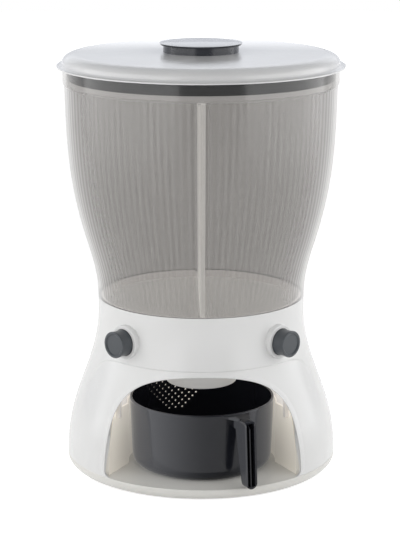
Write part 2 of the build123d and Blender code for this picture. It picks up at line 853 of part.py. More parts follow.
def make_bin():
    """Flared bin with its plug, its stepped rim and the channels that hold the divider."""
    outer = bin_curve(0, collar_radius)
    inner = bin_curve(bin_wall, plug_radius - plug_wall)
    rim = Polyline(
        outer @ 1,
        (rim_collar_radius, mouth_height + rim_chamfer),
        (rim_collar_radius, rim_collar_height),
        (rim_step_radius, rim_collar_height + rim_chamfer),
        (rim_step_radius, bin_top),
        (mouth_radius - bin_wall, bin_top),
        inner @ 1,
    )
    plug = Polyline(
        inner @ 0,
        (plug_radius - plug_wall, hopper_top),
        (plug_radius, hopper_top),
        (plug_radius, collar_height),
        outer @ 0,
    )
    body = turned(make_face(outer + rim + inner + plug))
    rib_back = bin_curve(bin_wall / 2, plug_radius - plug_wall / 2)
    rib_face = bin_curve(bin_wall + channel_rib_depth, plug_radius - plug_wall - channel_rib_depth)
    closing = Line(rib_back @ 1, rib_face @ 1) + Line(rib_back @ 0, rib_face @ 0)
    ring = turned(make_face(rib_back + rib_face + closing))
    first = divider_thickness / 2 + slide_gap
    for sign in (-1, 1):
        slab = Pos(sign * (first + channel_rib_thickness / 2), 0, (collar_height + divider_top) / 2) * Box(
            channel_rib_thickness, 4 * mouth_radius, divider_top - collar_height
        )
        body += ring & slab
    return body


def make_divider():
    """Upright plate between the compartments, shaped to the inside of the bin."""
    inner = bin_curve(bin_wall + divider_gap, plug_radius - plug_wall - divider_gap)
    bottom = hopper_top - hopper_slot_depth
    low_radius = hopper_radius - divider_gap
    side = Polyline(
        (0, mouth_height),
        inner @ 1,
    ) + inner + Polyline(
        inner @ 0,
        ((inner @ 0).X, hopper_top + seat_gap),
        (low_radius, hopper_top + seat_gap),
        (low_radius, bottom),
        (0, bottom),
        (0, mouth_height),
    )
    half = make_face(side)
    face = half + mirror(half, Plane.YZ)
    plate = extrude(Plane.YZ * face, divider_thickness / 2, both=True)
    return split(plate, bisect_by=Plane.XY.offset(divider_top), keep=Keep.BOTTOM)


# ---------------------------------------------------------------- lid

def make_lid():
    """Shallow lid with a flared lip, a rounded shoulder and a plug that carries the seal."""
    lip = Spline(
        (lid_lip_radius, lid_lip_height + lid_lip_thickness),
        (lid_skirt_radius, lid_skirt_height),
        tangents=[(-1, 0.1), (0, 1)],
    )
    turn = EllipticalCenterArc(
        (lid_top_edge_radius, lid_skirt_height),
        lid_skirt_radius - lid_top_edge_radius, lid_top - lid_skirt_height, start_angle=0, arc_size=90,
    )
    seat = rim_step_radius + slide_gap
    under = Polyline(
        turn @ 1,
        (knob_wall_radius, lid_top + lid_crown),
        (0, lid_top + lid_crown),
        (0, lid_underside),
        (lid_plug_radius - lid_plug_wall, lid_underside),
        (lid_plug_radius - lid_plug_wall, lid_plug_bottom),
        (lid_plug_radius, lid_plug_bottom),
        (lid_plug_radius, bin_top),
        (seat, bin_top),
        (seat, lid_skirt_height - lid_wall / 2),
        (lid_lip_radius - lid_wall, lid_lip_height),
        (lid_lip_radius, lid_lip_height),
        lip @ 0,
    )
    lid = turned(make_face(lip + turn + under))
    for x, y in knob_screw_places():
        lid -= column(screw_radius + pilot_gap, lid_underside, lid_top + lid_crown, x, y)
    return lid


def make_lid_seal():
    """Soft ring on the plug, with two edges that wipe the inside of the bin."""
    bore = mouth_radius - bin_wall
    outer = bore - slide_gap
    body = outer - seal_lip
    third = (seal_top - seal_bottom) / 6
    outline = Polyline(
        (lid_plug_radius, seal_bottom),
        (body, seal_bottom),
        (outer, seal_bottom + third),
        (outer, seal_top - third),
        (body, seal_top),
        (lid_plug_radius, seal_top),
        close=True,
    )
    return turned(make_face(outline))


def knob_screw_places():
    """Centres of the screws that hold the knob."""
    return [around(knob_screw_circle, 360 * index / knob_screw_count) for index in range(knob_screw_count)]


def make_lid_knob():
    """Low round knob with an overhanging rim and a dished top."""
    inner = knob_wall_radius - knob_wall
    rim_low = knob_top - knob_rim_thickness
    bevel = knob_edge_inset / 2
    corner = RadiusArc(
        (knob_top_radius, rim_low + bevel), (knob_top_radius - knob_edge_inset, knob_top), -knob_edge_round
    )
    outline = Polyline(
        corner @ 1,
        (knob_dish_radius + knob_dish_bevel, knob_top),
        (knob_dish_radius, knob_seat),
        (0, knob_seat),
        (0, knob_seat - knob_wall),
        (inner, knob_seat - knob_wall),
        (inner, knob_bottom),
        (knob_wall_radius, knob_bottom),
        (knob_wall_radius, rim_low),
        (knob_top_radius - bevel, rim_low),
        corner @ 0,
    )
    knob = turned(make_face(corner + outline))
    for x, y in knob_screw_places():
        boss = column(knob_boss_radius, knob_bottom, knob_seat - knob_wall / 2, x, y)
        tip = lid_underside + knob_screw_length
        knob += boss - column(screw_radius, knob_bottom, tip, x, y)
    return knob


# ---------------------------------------------------------------- screws

def screw(x, y, seat, length, up=True):
    """Pan-head screw that points upwards from the face its head bears on."""
    shank = column(screw_radius, seat, seat + length, x, y)
    head = column(screw_head_radius, seat - screw_head_thickness, seat, x, y)
    return shank + head


def make_knob_screws():
    """Screws from under the lid into the knob."""
    return [screw(x, y, lid_underside, knob_screw_length) for x, y in knob_screw_places()]


def make_base_screws():
    """Screws from under the tray into the shell's bosses."""
    seat = floor_height - floor_thickness - screw_head_thickness
    return [screw(x, y, seat, screw_length) for x, y in boss_places()]


# ---------------------------------------------------------------- bowl

def make_bowl():
    """Round measuring bowl with a drain in one wall and a hooked handle opposite."""
    base = bowl_base_radius
    heel = bowl_heel_radius
    floor = bowl_bottom
    top = bowl_rim_height
    wall = bowl_wall
    outer = (
        RadiusArc((base - heel, floor), (base, floor + heel), -heel)
        + Line((base, floor + heel), (bowl_rim_radius, top - bowl_lip_radius))
    )
    inner_heel = heel - wall
    inner = Polyline(
        (bowl_rim_radius - 2 * bowl_lip_radius, top - bowl_lip_radius),
        (bowl_rim_radius - wall, top - 2 * bowl_lip_radius - bowl_lip_run),
        (base - wall, floor + heel),
    ) + RadiusArc((base - wall, floor + heel), (base - heel, floor + wall), inner_heel) + Polyline(
        (base - heel, floor + wall), (0, floor + wall), (0, floor), (base - heel, floor)
    )
    lip = ThreePointArc(
        (bowl_rim_radius, top - bowl_lip_radius),
        (bowl_rim_radius - bowl_lip_radius, top),
        (bowl_rim_radius - 2 * bowl_lip_radius, top - bowl_lip_radius),
    )
    bowl = turned(make_face(outer + inner + lip))
    bowl += make_handle()
    bowl -= drain_holes()
    return Pos(0, bowl_centre_y) * Rot(0, 0, bowl_turn) * bowl


def handle_side(inset):
    """Side view of the handle as distance from the bowl's axis and height."""
    top = bowl_rim_height - bowl_lip_radius
    outer_top = bowl_rim_radius + handle_reach
    outer_low = outer_top + handle_flare
    low = bowl_rim_height - handle_drop
    bend = handle_bend_radius
    start = bowl_rim_radius - bowl_lip_radius
    return make_face(
        Line((start, top - inset), (outer_top - bend, top - inset))
        + RadiusArc((outer_top - bend, top - inset), (outer_top, top - bend), bend)
        + Polyline(
            (outer_top, top - bend),
            (outer_low, low),
            (outer_low - handle_end_depth + inset, low),
            (outer_top - handle_top_depth + inset, top - handle_arm_depth - handle_arm_slope),
            (start, top - handle_arm_depth),
            (start, top - inset),
        )
    )


def make_handle():
    """Hooked handle: a channel open to the outside with a thin rib down its middle."""
    half = handle_width / 2
    low = bowl_rim_height - handle_drop
    body = extrude(Plane.XZ * handle_side(0), half, both=True)
    body = Rot(0, 0, -90) * body
    slot = extrude(Plane.XZ * handle_slot(), half - handle_wall, both=True)
    body -= Rot(0, 0, -90) * slot
    rib = extrude(Plane.XZ * handle_rib(), handle_rib_width / 2, both=True)
    body += Rot(0, 0, -90) * rib
    top = bowl_rim_height - bowl_lip_radius
    shoulder = handle_shoulder_radius
    slant = half * math.sin(math.pi / 4)
    right = (
        ThreePointArc((0, low), (slant, low + half - slant), (half, low + half))
        + Line((half, low + half), (half, top - shoulder))
        + RadiusArc((half, top - shoulder), (half - shoulder, top), -shoulder)
    )
    front = mirrored_face(right + Polyline((half - shoulder, top), (0, top), (0, low)))
    outside = extrude(Plane.XZ * front, 2 * bowl_rim_radius)
    body = body & outside
    start = bowl_rim_radius - bowl_lip_radius
    tip = bowl_rim_radius + handle_reach - handle_top_depth + root_run_in
    gusset = make_face(Polyline(
        (-root_width / 2, -start), (root_width / 2, -start), (half, -tip), (-half, -tip), close=True
    ))
    body += extrude(Plane.XY.offset(top - handle_wall) * gusset, handle_wall)
    inside = column(start - handle_bite, bowl_bottom, bowl_rim_height)
    return body - inside


def handle_slot():
    """Side view of the channel cut into the handle from outside."""
    top = bowl_rim_height - bowl_lip_radius - handle_wall
    outer_top = bowl_rim_radius + handle_reach
    outer_low = outer_top + handle_flare
    low = bowl_rim_height - handle_drop
    far = outer_low + handle_reach
    return make_face(Polyline(
        (outer_top - handle_bend_radius, top),
        (far, top - handle_slot_lean),
        (far, low + handle_wall),
        (outer_low - handle_end_depth + handle_wall, low + handle_wall),
        (outer_top - handle_top_depth + handle_wall, top - handle_bend_radius),
        (outer_top - handle_top_depth + handle_wall, top),
        close=True,
    ))


def handle_rib():
    """Side view of the rib inside the channel."""
    top = bowl_rim_height - bowl_lip_radius - handle_wall
    outer_top = bowl_rim_radius + handle_reach - handle_rib_inset
    outer_low = outer_top + handle_flare
    low = bowl_rim_height - handle_drop
    return make_face(Polyline(
        (outer_top - handle_bend_radius, top + handle_rib_root),
        (outer_top, top - handle_bend_radius),
        (outer_low, low + handle_rib_root),
        (outer_low - handle_end_depth + handle_wall, low + handle_rib_root),
        (outer_top - handle_top_depth + handle_wall, top - handle_bend_radius),
        (outer_top - handle_top_depth + handle_wall, top + handle_rib_root),
        close=True,
    ))


def drain_holes():
    """Straight holes through the wall opposite the handle, in rows that widen upwards."""
    holes = []
    near, far = bowl_base_radius - drain_reach, bowl_rim_radius + drain_reach
    for row in range(drain_rows):
        count = drain_lowest_count + row
        height = bowl_bottom + drain_lowest_height + row * drain_row_pitch
        for index in range(count):
            angle = drain_step_angle * (index - (count - 1) / 2)
            plane = Plane(origin=(0, near, height), z_dir=(0, 1, 0))
            hole = extrude(plane * RegularPolygon(drain_hole_radius, 8), far - near)
            holes.append(Rot(0, 0, angle + drain_turn) * hole)
    return holes


# ---------------------------------------------------------------- assembly

def make_parts():
    """Every piece by its node's name."""
    parts = {
        "base_tray": make_base_tray(),
        "rubber_pads": make_rubber_pads(),
        "base_shell": make_base_shell(),
        "base_screws": make_base_screws(),
        "bay_liner": make_bay_liner(),
        "bay_hood": make_bay_hood(),
        "chute": make_chute(),
        "gate_carrier": make_gate_carrier(),
        "hopper": make_hopper(),
        "bin": make_bin(),
        "divider": make_divider(),
        "lid": make_lid(),
        "lid_seal": make_lid_seal(),
        "lid_knob": make_lid_knob(),
        "knob_screws": make_knob_screws(),
        "bowl": make_bowl(),
    }
    for name, side in (("left", -1), ("right", 1)):
        parts["button_" + name] = make_button(side)
        parts["button_bezel_" + name] = make_button_bezel(side)
        parts["gate_slide_" + name] = make_gate_slide(side)
        parts["return_spring_" + name] = make_return_spring(side)
    return parts


def main():
    """Write one STEP file per node."""
    os.makedirs("parts", exist_ok=True)
    for name, shape in make_parts().items():
        node = Compound(children=list(shape)) if isinstance(shape, list) else shape
        export_step(node, "parts/" + name + ".step")


main()
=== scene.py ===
"""Looks of a two-compartment dry-food dispenser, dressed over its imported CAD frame.

Metres, +Z up, the front faces -Y, and the origin is on the surface that it stands on.
"""

import logging
import math
from dataclasses import dataclass, field
from enum import Enum
from typing import Any, Callable, Mapping, Sequence, Union

import bmesh
import bpy
import numpy as np
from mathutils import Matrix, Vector


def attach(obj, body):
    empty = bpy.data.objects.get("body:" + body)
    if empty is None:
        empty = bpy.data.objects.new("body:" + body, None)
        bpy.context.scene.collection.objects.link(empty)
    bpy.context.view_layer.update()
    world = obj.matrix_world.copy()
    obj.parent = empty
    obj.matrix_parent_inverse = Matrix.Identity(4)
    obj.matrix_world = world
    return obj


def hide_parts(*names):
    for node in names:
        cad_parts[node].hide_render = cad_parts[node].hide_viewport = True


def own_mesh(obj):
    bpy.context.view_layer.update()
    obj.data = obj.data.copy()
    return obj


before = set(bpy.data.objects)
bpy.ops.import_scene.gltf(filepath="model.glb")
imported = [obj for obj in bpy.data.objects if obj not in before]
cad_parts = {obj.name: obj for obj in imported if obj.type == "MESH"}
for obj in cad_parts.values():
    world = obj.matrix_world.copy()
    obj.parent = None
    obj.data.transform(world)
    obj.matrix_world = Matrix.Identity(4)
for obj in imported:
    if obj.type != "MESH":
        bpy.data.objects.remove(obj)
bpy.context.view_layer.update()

Point = tuple[float, float]
Place = tuple[float, float, float]
Colour = tuple[float, float, float]

MM = 0.001
LOG = logging.getLogger("dispenser")
BLACK: Colour = (0.0, 0.0, 0.0)
WHITE: Colour = (1.0, 1.0, 1.0)
# Flank of the housing, as radius and height in millimetres.
FLANK: tuple[Point, ...] = ((145.0, 12.0), (137.6, 64.0), (119.2, 117.0), (110.4, 168.0))


class Slot(str, Enum):
    """Material slots of the record."""

    WHITE = "white_plastic"
    INNER = "inner_plastic"
    CLEAR = "smoke_clear_plastic"
    DARK = "dark_plastic"
    SEAL = "seal_rubber"
    PADS = "rubber"
    STEEL = "steel"


class Body(str, Enum):
    """Bodies that carry pieces made here."""

    BASE = "base"
    LID = "lid"


# ---------------------------------------------------------------- shader expressions

Operand = Union["Signal", float, Sequence[float]]


def _operator(operation: str, reflected: bool = False) -> Callable[["Signal", Operand], "Signal"]:
    """Make an operator of Signal.

    Args:
        operation: Name of the operation in Math and in Vector Math.
        reflected: Whether the signal is the right operand.

    Returns:
        The operator's method.
    """

    def method(self: "Signal", other: Operand) -> "Signal":
        """Join the signal and another operand."""
        return self.graph.maths(operation, *((other, self) if reflected else (self, other)))

    return method


class Signal:
    """A shader socket that takes part in Python expressions."""

    def __init__(self, graph: "Graph", socket: bpy.types.NodeSocket) -> None:
        """Wrap an output socket.

        Args:
            graph: The node graph that the socket belongs to.
            socket: The output socket.
        """
        self.graph = graph
        self.socket = socket

    @property
    def is_vector(self) -> bool:
        """Whether the socket carries a colour or a vector."""
        return self.socket.type in {"RGBA", "VECTOR"}

    __add__, __radd__ = _operator("ADD"), _operator("ADD", reflected=True)
    __sub__, __rsub__ = _operator("SUBTRACT"), _operator("SUBTRACT", reflected=True)
    __mul__, __rmul__ = _operator("MULTIPLY"), _operator("MULTIPLY", reflected=True)
    __pow__ = _operator("POWER")

    def between(self, low: float, high: float) -> "Signal":
        """Smooth mask that rises from 0 at one value to 1 at another.

        Args:
            low: Value where the mask is 0.
            high: Value where the mask is 1.

        Returns:
            The mask.
        """
        sockets = {"Value": self, "From Min": low, "From Max": high}
        return self.graph.node("ShaderNodeMapRange", sockets, interpolation_type="SMOOTHSTEP")

    def between_mm(self, low: float, high: float) -> "Signal":
        """The same mask on a length, with its ends in millimetres."""
        return self.between(low * MM, high * MM)


class Graph:
    """The node graph of one material or world, and the ways to add nodes to it."""

    def __init__(self, tree: bpy.types.NodeTree) -> None:
        """Start with an empty tree.

        Args:
            tree: The node tree to fill.
        """
        self.tree = tree
        tree.nodes.clear()

    def node(
        self,
        kind: str,
        sockets: Mapping[Union[str, int], Operand] | None = None,
        output: Union[str, int] = 0,
        **settings: Any,
    ) -> Signal:
        """Add any node.

        Args:
            kind: The node's type.
            sockets: Value or link of each input, by identifier, name or number.
            output: The output that is handed back.
            settings: Properties that are set first, such as the operation of a Math node.

        Returns:
            The chosen output.
        """
        made = self.tree.nodes.new(kind)
        for name, value in settings.items():
            setattr(made, name, value)
        for key, value in (sockets or {}).items():
            self._feed(self._find(made.inputs, key), value)
        return Signal(self, self._find(made.outputs, output))

    @staticmethod
    def _find(sockets: Any, key: Union[str, int]) -> bpy.types.NodeSocket:
        """Find a socket.

        Args:
            sockets: Inputs or outputs of a node.
            key: Number, identifier or name of the socket.

        Returns:
            The socket.
        """
        if isinstance(key, int):
            return sockets[key]
        for socket in sockets:
            if socket.identifier == key:
                return socket
        return sockets[key]

    def _feed(self, socket: bpy.types.NodeSocket, value: Operand) -> None:
        """Link a signal to an input, or set the input's own value.

        Args:
            socket: The input.
            value: A signal, a number, a colour or a vector.
        """
        if isinstance(value, Signal):
            self.tree.links.new(value.socket, socket)
        elif socket.type == "RGBA" and len(value) == 3:
            socket.default_value = (*value, 1.0)
        else:
            socket.default_value = value

    def maths(self, operation: str, first: Operand, second: Operand) -> Signal:
        """Join two operands, as numbers or as vectors.

        Args:
            operation: Name of the operation in Math and in Vector Math.
            first: Left operand.
            second: Right operand.

        Returns:
            The result.
        """
        pair = (first, second)
        if not any(isinstance(item, Signal) and item.is_vector for item in pair):
            return self.node("ShaderNodeMath", dict(enumerate(pair)), operation=operation)
        spread = [(item,) * 3 if isinstance(item, (int, float)) else item for item in pair]
        return self.node("ShaderNodeVectorMath", dict(enumerate(spread)), operation=operation)

    def mix(self, share: Operand, first: Operand, second: Operand) -> Signal:
        """Mix two colours.

        Args:
            share: How much of the second colour shows.
            first: First colour.
            second: Second colour.

        Returns:
            The mixed colour.
        """
        sockets = {"Factor_Float": share, "A_Color": first, "B_Color": second}
        return self.node("ShaderNodeMix", sockets, "Result_Color", data_type="RGBA")

    def place(self) -> Signal:
        """Coordinates of the shaded point in the shared frame."""
        return self.node("ShaderNodeTexCoord", output="Object")

    def axes(self, vector: Signal) -> tuple[Signal, Signal, Signal]:
        """Parts of a vector along X, Y and Z."""
        x, y, z = (self.node("ShaderNodeSeparateXYZ", {0: vector}, axis) for axis in "XYZ")
        return x, y, z

    def facing(self) -> tuple[Signal, Signal, Signal]:
        """Parts of the shaded face's normal along X, Y and Z."""
        return self.axes(self.node("ShaderNodeNewGeometry", output="Normal"))

    def noise(self, place: Signal, size_mm: float, detail: float = 2.0) -> Signal:
        """Cloudy noise.

        Args:
            place: Coordinates.
            size_mm: Size of a cloud.
            detail: Number of finer layers.

        Returns:
            Values round 0.5.
        """
        sockets = {"Vector": place, "Scale": 1.0 / (size_mm * MM), "Detail": detail}
        return self.node("ShaderNodeTexNoise", sockets)

    def bump(self, height: Signal) -> Signal:
        """Normal of a surface raised by a height in metres."""
        sockets = {"Distance": 1.0, "Strength": 1.0, "Height": height}
        return self.node("ShaderNodeBump", sockets)

    def show(self, surface: Signal, output: str = "ShaderNodeOutputMaterial") -> None:
        """Let a shader be what the material or world shows."""
        self.tree.links.new(surface.socket, self.tree.nodes.new(output).inputs["Surface"])


def distance(x: Signal, y: Signal) -> Signal:
    """Distance from an upright axis."""
    return (x * x + y * y) ** 0.5


def material_graph(name: str) -> tuple[bpy.types.Material, Graph]:
    """Make a material and its empty graph.

    Args:
        name: Name of the material.

    Returns:
        The material and its graph.
    """
    material = bpy.data.materials.new(name)
    material.use_nodes = True
    return material, Graph(material.node_tree)


# ---------------------------------------------------------------- finishes

# Where the inner sides of the shell get a painted warm tint and a painted glow, standing in for
# warm light from the bay,
# in millimetres: depth behind the flank, and heights at which the tint ends.
PAINTED_WARMTH_DEPTH: Point = (2.8, 4.2)
PAINTED_WARMTH_TOP: Point = (114.0, 119.0)


def behind_flank(graph: Graph, place: Signal) -> Signal:
    """Mask of the shell's faces that lie behind its flank, such as the return of the arch.

    Args:
        graph: Graph of the material.
        place: Coordinates.

    Returns:
        One well behind the flank, and zero on it.
    """
    x, y, height = graph.axes(place)
    flank: Operand = FLANK[0][0] * MM
    for (wide, low), (narrow, high) in zip(FLANK, FLANK[1:]):
        flank = height.between_mm(low, high) * ((narrow - wide) * MM) + flank
    # The mask places the painted warm tint and painted glow on the shell's inward faces.
    behind = (flank - distance(x, y)).between_mm(*PAINTED_WARMTH_DEPTH)
    return behind * (1.0 - height.between_mm(*PAINTED_WARMTH_TOP))


@dataclass(frozen=True)
class PaintedGlow:
    """Painted glow: emission that lightens a pale part as if light reached it; it grows with height
    and towards the back.
    """

    low: float
    high: float
    low_mm: float = 12.0
    high_mm: float = 95.0
    behind: float = 0.0
    behind_mm: Point = (-20.0, 10.0)
    below_mm: float = 900.0
    inside_mm: float = 500.0
    front_mm: float = -500.0
    front_share: float = 0.4
    soft_mm: float = 4.0
    brim_mm: float = 3.0
    sharp_mm: float = 0.3

    def strength(self, graph: Graph, place: Signal) -> Signal:
        """How strongly the wall glows at a place.

        Args:
            graph: Graph of the material.
            place: Coordinates.

        Returns:
            Strength.
        """
        x, y, height = graph.axes(place)
        rise = height.between_mm(self.low_mm, self.high_mm)
        back = y.between_mm(*self.behind_mm) * self.behind
        within = 1.0 - distance(x, y).between_mm(self.inside_mm - self.brim_mm, self.inside_mm)
        above = height.between_mm(self.low_mm - self.sharp_mm, self.low_mm - self.sharp_mm / 3)
        below = 1.0 - height.between_mm(self.below_mm - self.sharp_mm, self.below_mm)
        depth = y.between_mm(self.front_mm, self.front_mm + self.soft_mm)
        lit = depth * (1.0 - self.front_share) + self.front_share
        return ((rise * (self.high - self.low) + self.low) * below + back) * within * above * lit


@dataclass(frozen=True)
class PaintedSheen:
    """Painted reflection: emission that paints the pale light of the bay's walls on both flanks of
    a dark glossy bowl and on a side face of its handle.
    """

    tone: Colour
    left: float
    right: float
    left_mm: Point = (-72.0, 20.0)
    right_mm: Point = (34.0, 72.0)
    centre_mm: float = -49.0
    outward_mm: Point = (0.0, 2.0)
    # Painted reflection on the handle's side face, beyond the bowl's wall.
    grip: float = 0.045
    grip_mm: Point = (80.0, 82.0)
    grip_turn: float = 27.5
    grip_face_mm: Point = (4.4, 5.4)
    top_normal: Point = (0.9, 1.0)
    dull_top: float = 0.5

    def colour(self, graph: Graph, place: Signal) -> Signal:
        """Colour of the painted reflection at a place.

        Args:
            graph: Graph of the material.
            place: Coordinates.

        Returns:
            Colour.
        """
        x, y, _ = graph.axes(place)
        left = (1.0 - x.between_mm(*self.left_mm)) * self.left
        right = x.between_mm(*self.right_mm) * self.right
        across, along, _ = graph.facing()
        depth = y - self.centre_mm * MM
        outward = across * x + along * depth
        beyond = distance(x, depth).between_mm(*self.grip_mm)
        body = (left + right) * outward.between_mm(*self.outward_mm) * (1.0 - beyond)
        turn = math.radians(self.grip_turn)
        beside = x * -math.cos(turn) - depth * math.sin(turn)
        face = beside.between_mm(*self.grip_face_mm)
        return graph.mix(body + face * beyond * self.grip, BLACK, self.tone)

    def dulled(self, graph: Graph) -> Signal:
        """How much rougher the faces are that look up, which reflect the white arch.

        Args:
            graph: Graph of the material.

        Returns:
            Added roughness.
        """
        _, _, upward = graph.facing()
        return upward.between(*self.top_normal) * self.dull_top


@dataclass(frozen=True)
class MouldedPlastic:
    """Opaque moulded plastic: faint clouds, handling marks, a fine grain and a slow ripple, and
    where they are given a painted glow, a painted reflection and a painted warm tint.
    """

    name: str
    slot: Slot
    colour: Colour
    shade: Colour
    roughness: float
    smudge: float = 0.06
    grain_mm: float = 0.5
    grain_depth_mm: float = 0.002
    ripple_mm: float = 45.0
    ripple_depth_mm: float = 0.06
    coat: float = 0.0
    coat_roughness: float = 0.06
    ior: float = 1.5
    cloud_mm: float = 60.0
    cloud_range: Point = (0.35, 0.7)
    cloud_share: float = 0.7
    fleck_mm: float = 1.4
    fleck_range: Point = (0.66, 0.78)
    fleck_roughness: float = 0.03
    touch_mm: float = 22.0
    # Painted light: the glow, the reflection and the inward tint with its glow below are painted
    # emission and painted colour.
    glow: PaintedGlow | None = None
    painted_sheen: PaintedSheen | None = None
    inward: Colour | None = None
    inward_painted_glow: float = 0.12

    def build(self) -> bpy.types.Material:
        """Make the material.

        Returns:
            The material.
        """
        material, graph = material_graph(self.name)
        place = graph.place()
        clouds = graph.noise(place, self.cloud_mm).between(*self.cloud_range)
        flecks = graph.noise(place, self.fleck_mm, 1.0).between(*self.fleck_range)
        shaded = clouds * self.cloud_share + flecks * (1.0 - self.cloud_share)
        colour = graph.mix(shaded, self.colour, self.shade)
        handled = graph.noise(place, self.touch_mm, 4.0) - 0.5
        roughness = self.roughness + handled * self.smudge * 2.0 + flecks * self.fleck_roughness
        grain = graph.noise(place, self.grain_mm, 1.0) * (self.grain_depth_mm * MM)
        ripple = graph.noise(place, self.ripple_mm, 0.0) * (self.ripple_depth_mm * MM)
        sockets = {
            "Base Color": colour,
            "Roughness": roughness,
            "Normal": graph.bump(grain + ripple),
            "IOR": self.ior,
            "Coat Weight": self.coat,
            "Coat Roughness": self.coat_roughness,
        }
        # Painted warm light: the faces behind the flank take a painted warm tint and a painted
        # glow.
        if self.inward is not None:
            behind = behind_flank(graph, place)
            sockets["Base Color"] = graph.mix(behind, colour, self.inward)
            painted_inward_glow_colour = tuple(self.inward_painted_glow * part for part in self.inward)
            sockets["Emission Color"] = graph.mix(behind, BLACK, painted_inward_glow_colour)
        # Painted glow on the part.
        if self.glow is not None:
            sockets["Emission Color"] = colour * self.glow.strength(graph, place)
        # Painted reflection on a dark glossy part, with rougher upward faces.
        if self.painted_sheen is not None:
            sockets["Roughness"] = roughness + self.painted_sheen.dulled(graph)
            sockets["Emission Color"] = self.painted_sheen.colour(graph, place)
        if "Emission Color" in sockets:
            sockets["Emission Strength"] = 1.0
        graph.show(graph.node("ShaderNodeBsdfPrincipled", sockets))
        return material


@dataclass(frozen=True)
class ClearPlastic:
    """Smoky clear plastic: what is behind it shows through, and its steep faces look milky."""

    name: str
    slot: Slot
    tint: Colour
    haze_colour: Colour
    haze: float
    edge_haze: float
    edge_power: float
    gloss_roughness: float
    flutes: int
    flute_haze: float = 0.055
    flute_low_mm: Point = (186.0, 196.0)
    flute_top_mm: Point = (409.0, 411.0)
    polish: float = 0.15
    shine: float = 1.2
    most_shine: float = 0.4
    # Painted glow: the plug inside the housing's collar gets haze and emission in place of light
    # that the tinted wall holds back.
    plug_mm: Point = (183.6, 184.2)
    plug_haze: float = 0.6
    plug_painted_glow: Colour = (0.36, 0.35, 0.34)
    shade: float = 0.93
    cloud_mm: float = 40.0
    scuff_mm: float = 3.0
    scuff_stretch: Place = (1.0, 1.0, 0.12)
    scuff_range: Point = (0.6, 0.8)
    scuff_roughness: float = 0.05
    scuff_haze: float = 0.008
    ripple_mm: float = 14.0
    ripple_depth_mm: float = 0.012
    ior: float = 1.5
    gloss_ior: float = 1.45

    def build(self) -> bpy.types.Material:
        """Make the material.

        Returns:
            The material.
        """
        material, graph = material_graph(self.name)
        place = graph.place()
        x, y, height = graph.axes(place)
        turn = graph.maths("ARCTAN2", x, y) * self.flutes
        wave = graph.node("ShaderNodeMath", {0: turn}, operation="COSINE")
        clouded = 1.0 - height.between_mm(*self.flute_top_mm)
        fluted = clouded * height.between_mm(*self.flute_low_mm)
        plug = 1.0 - height.between_mm(*self.plug_mm)
        roughness = clouded * (self.gloss_roughness - self.polish) + self.polish
        clouds = graph.noise(place, self.cloud_mm)
        scuffs = graph.noise(place * self.scuff_stretch, self.scuff_mm).between(*self.scuff_range)
        ripple = graph.bump(graph.noise(place, self.ripple_mm, 1.0) * (self.ripple_depth_mm * MM))
        shaded = tuple(self.shade * part for part in self.haze_colour)
        sockets = {
            "Base Color": graph.mix(clouds, self.haze_colour, shaded),
            "Roughness": roughness + scuffs * self.scuff_roughness,
            "Normal": ripple,
            "IOR": self.ior,
            # Painted glow on the plug.
            "Emission Color": graph.mix(plug, BLACK, self.plug_painted_glow),
            "Emission Strength": 1.0,
        }
        body = graph.node("ShaderNodeBsdfPrincipled", sockets)
        through = graph.node("ShaderNodeBsdfTransparent", {"Color": self.tint})
        steep = graph.node("ShaderNodeLayerWeight", {"Blend": 0.5}, "Facing")
        share = (self.haze + wave * fluted * self.flute_haze + scuffs * self.scuff_haze) * clouded
        share = share + steep**self.edge_power * self.edge_haze + plug * self.plug_haze
        hazy = graph.node("ShaderNodeMixShader", {0: share, 1: through, 2: body})
        sockets = {"Color": WHITE, "Roughness": roughness, "Normal": ripple}
        gloss = graph.node("ShaderNodeBsdfAnisotropic", sockets)
        fresnel = graph.node("ShaderNodeFresnel", {"IOR": self.gloss_ior, "Normal": ripple})
        outside = 1.0 - graph.node("ShaderNodeNewGeometry", output="Backfacing")
        shine = graph.maths("MINIMUM", fresnel * outside * self.shine, self.most_shine)
        graph.show(graph.node("ShaderNodeMixShader", {0: shine, 1: hazy, 2: gloss}))
        return material


@dataclass(frozen=True)
class PlainSteel:
    """Zinc-plated steel with fine turning marks."""

    name: str
    slot: Slot
    colour: Colour
    roughness: float
    shade: float = 0.8
    cloud_mm: float = 2.0
    mark_mm: float = 1.2
    mark_stretch: Place = (1.0, 1.0, 14.0)
    mark_depth_mm: float = 0.01
    mark_roughness: float = 0.15

    def build(self) -> bpy.types.Material:
        """Make the material.

        Returns:
            The material.
        """
        material, graph = material_graph(self.name)
        place = graph.place()
        clouds = graph.noise(place, self.cloud_mm, 3.0)
        marks = graph.noise(place * self.mark_stretch, self.mark_mm)
        shaded = tuple(self.shade * part for part in self.colour)
        sockets = {
            "Base Color": graph.mix(clouds, self.colour, shaded),
            "Metallic": 1.0,
            "Roughness": self.roughness + marks * self.mark_roughness,
            "Normal": graph.bump(marks * (self.mark_depth_mm * MM)),
        }
        graph.show(graph.node("ShaderNodeBsdfPrincipled", sockets))
        return material


Finish = Union[MouldedPlastic, ClearPlastic, PlainSteel]

# The shell's faces behind the flank get a painted warm tint and a painted glow.
WHITE_SHELL = MouldedPlastic(
    "white_moulded", Slot.WHITE, (0.80, 0.80, 0.795), (0.775, 0.775, 0.765), 0.24,
    ripple_depth_mm=0.08, inward=(0.70, 0.665, 0.60),
)
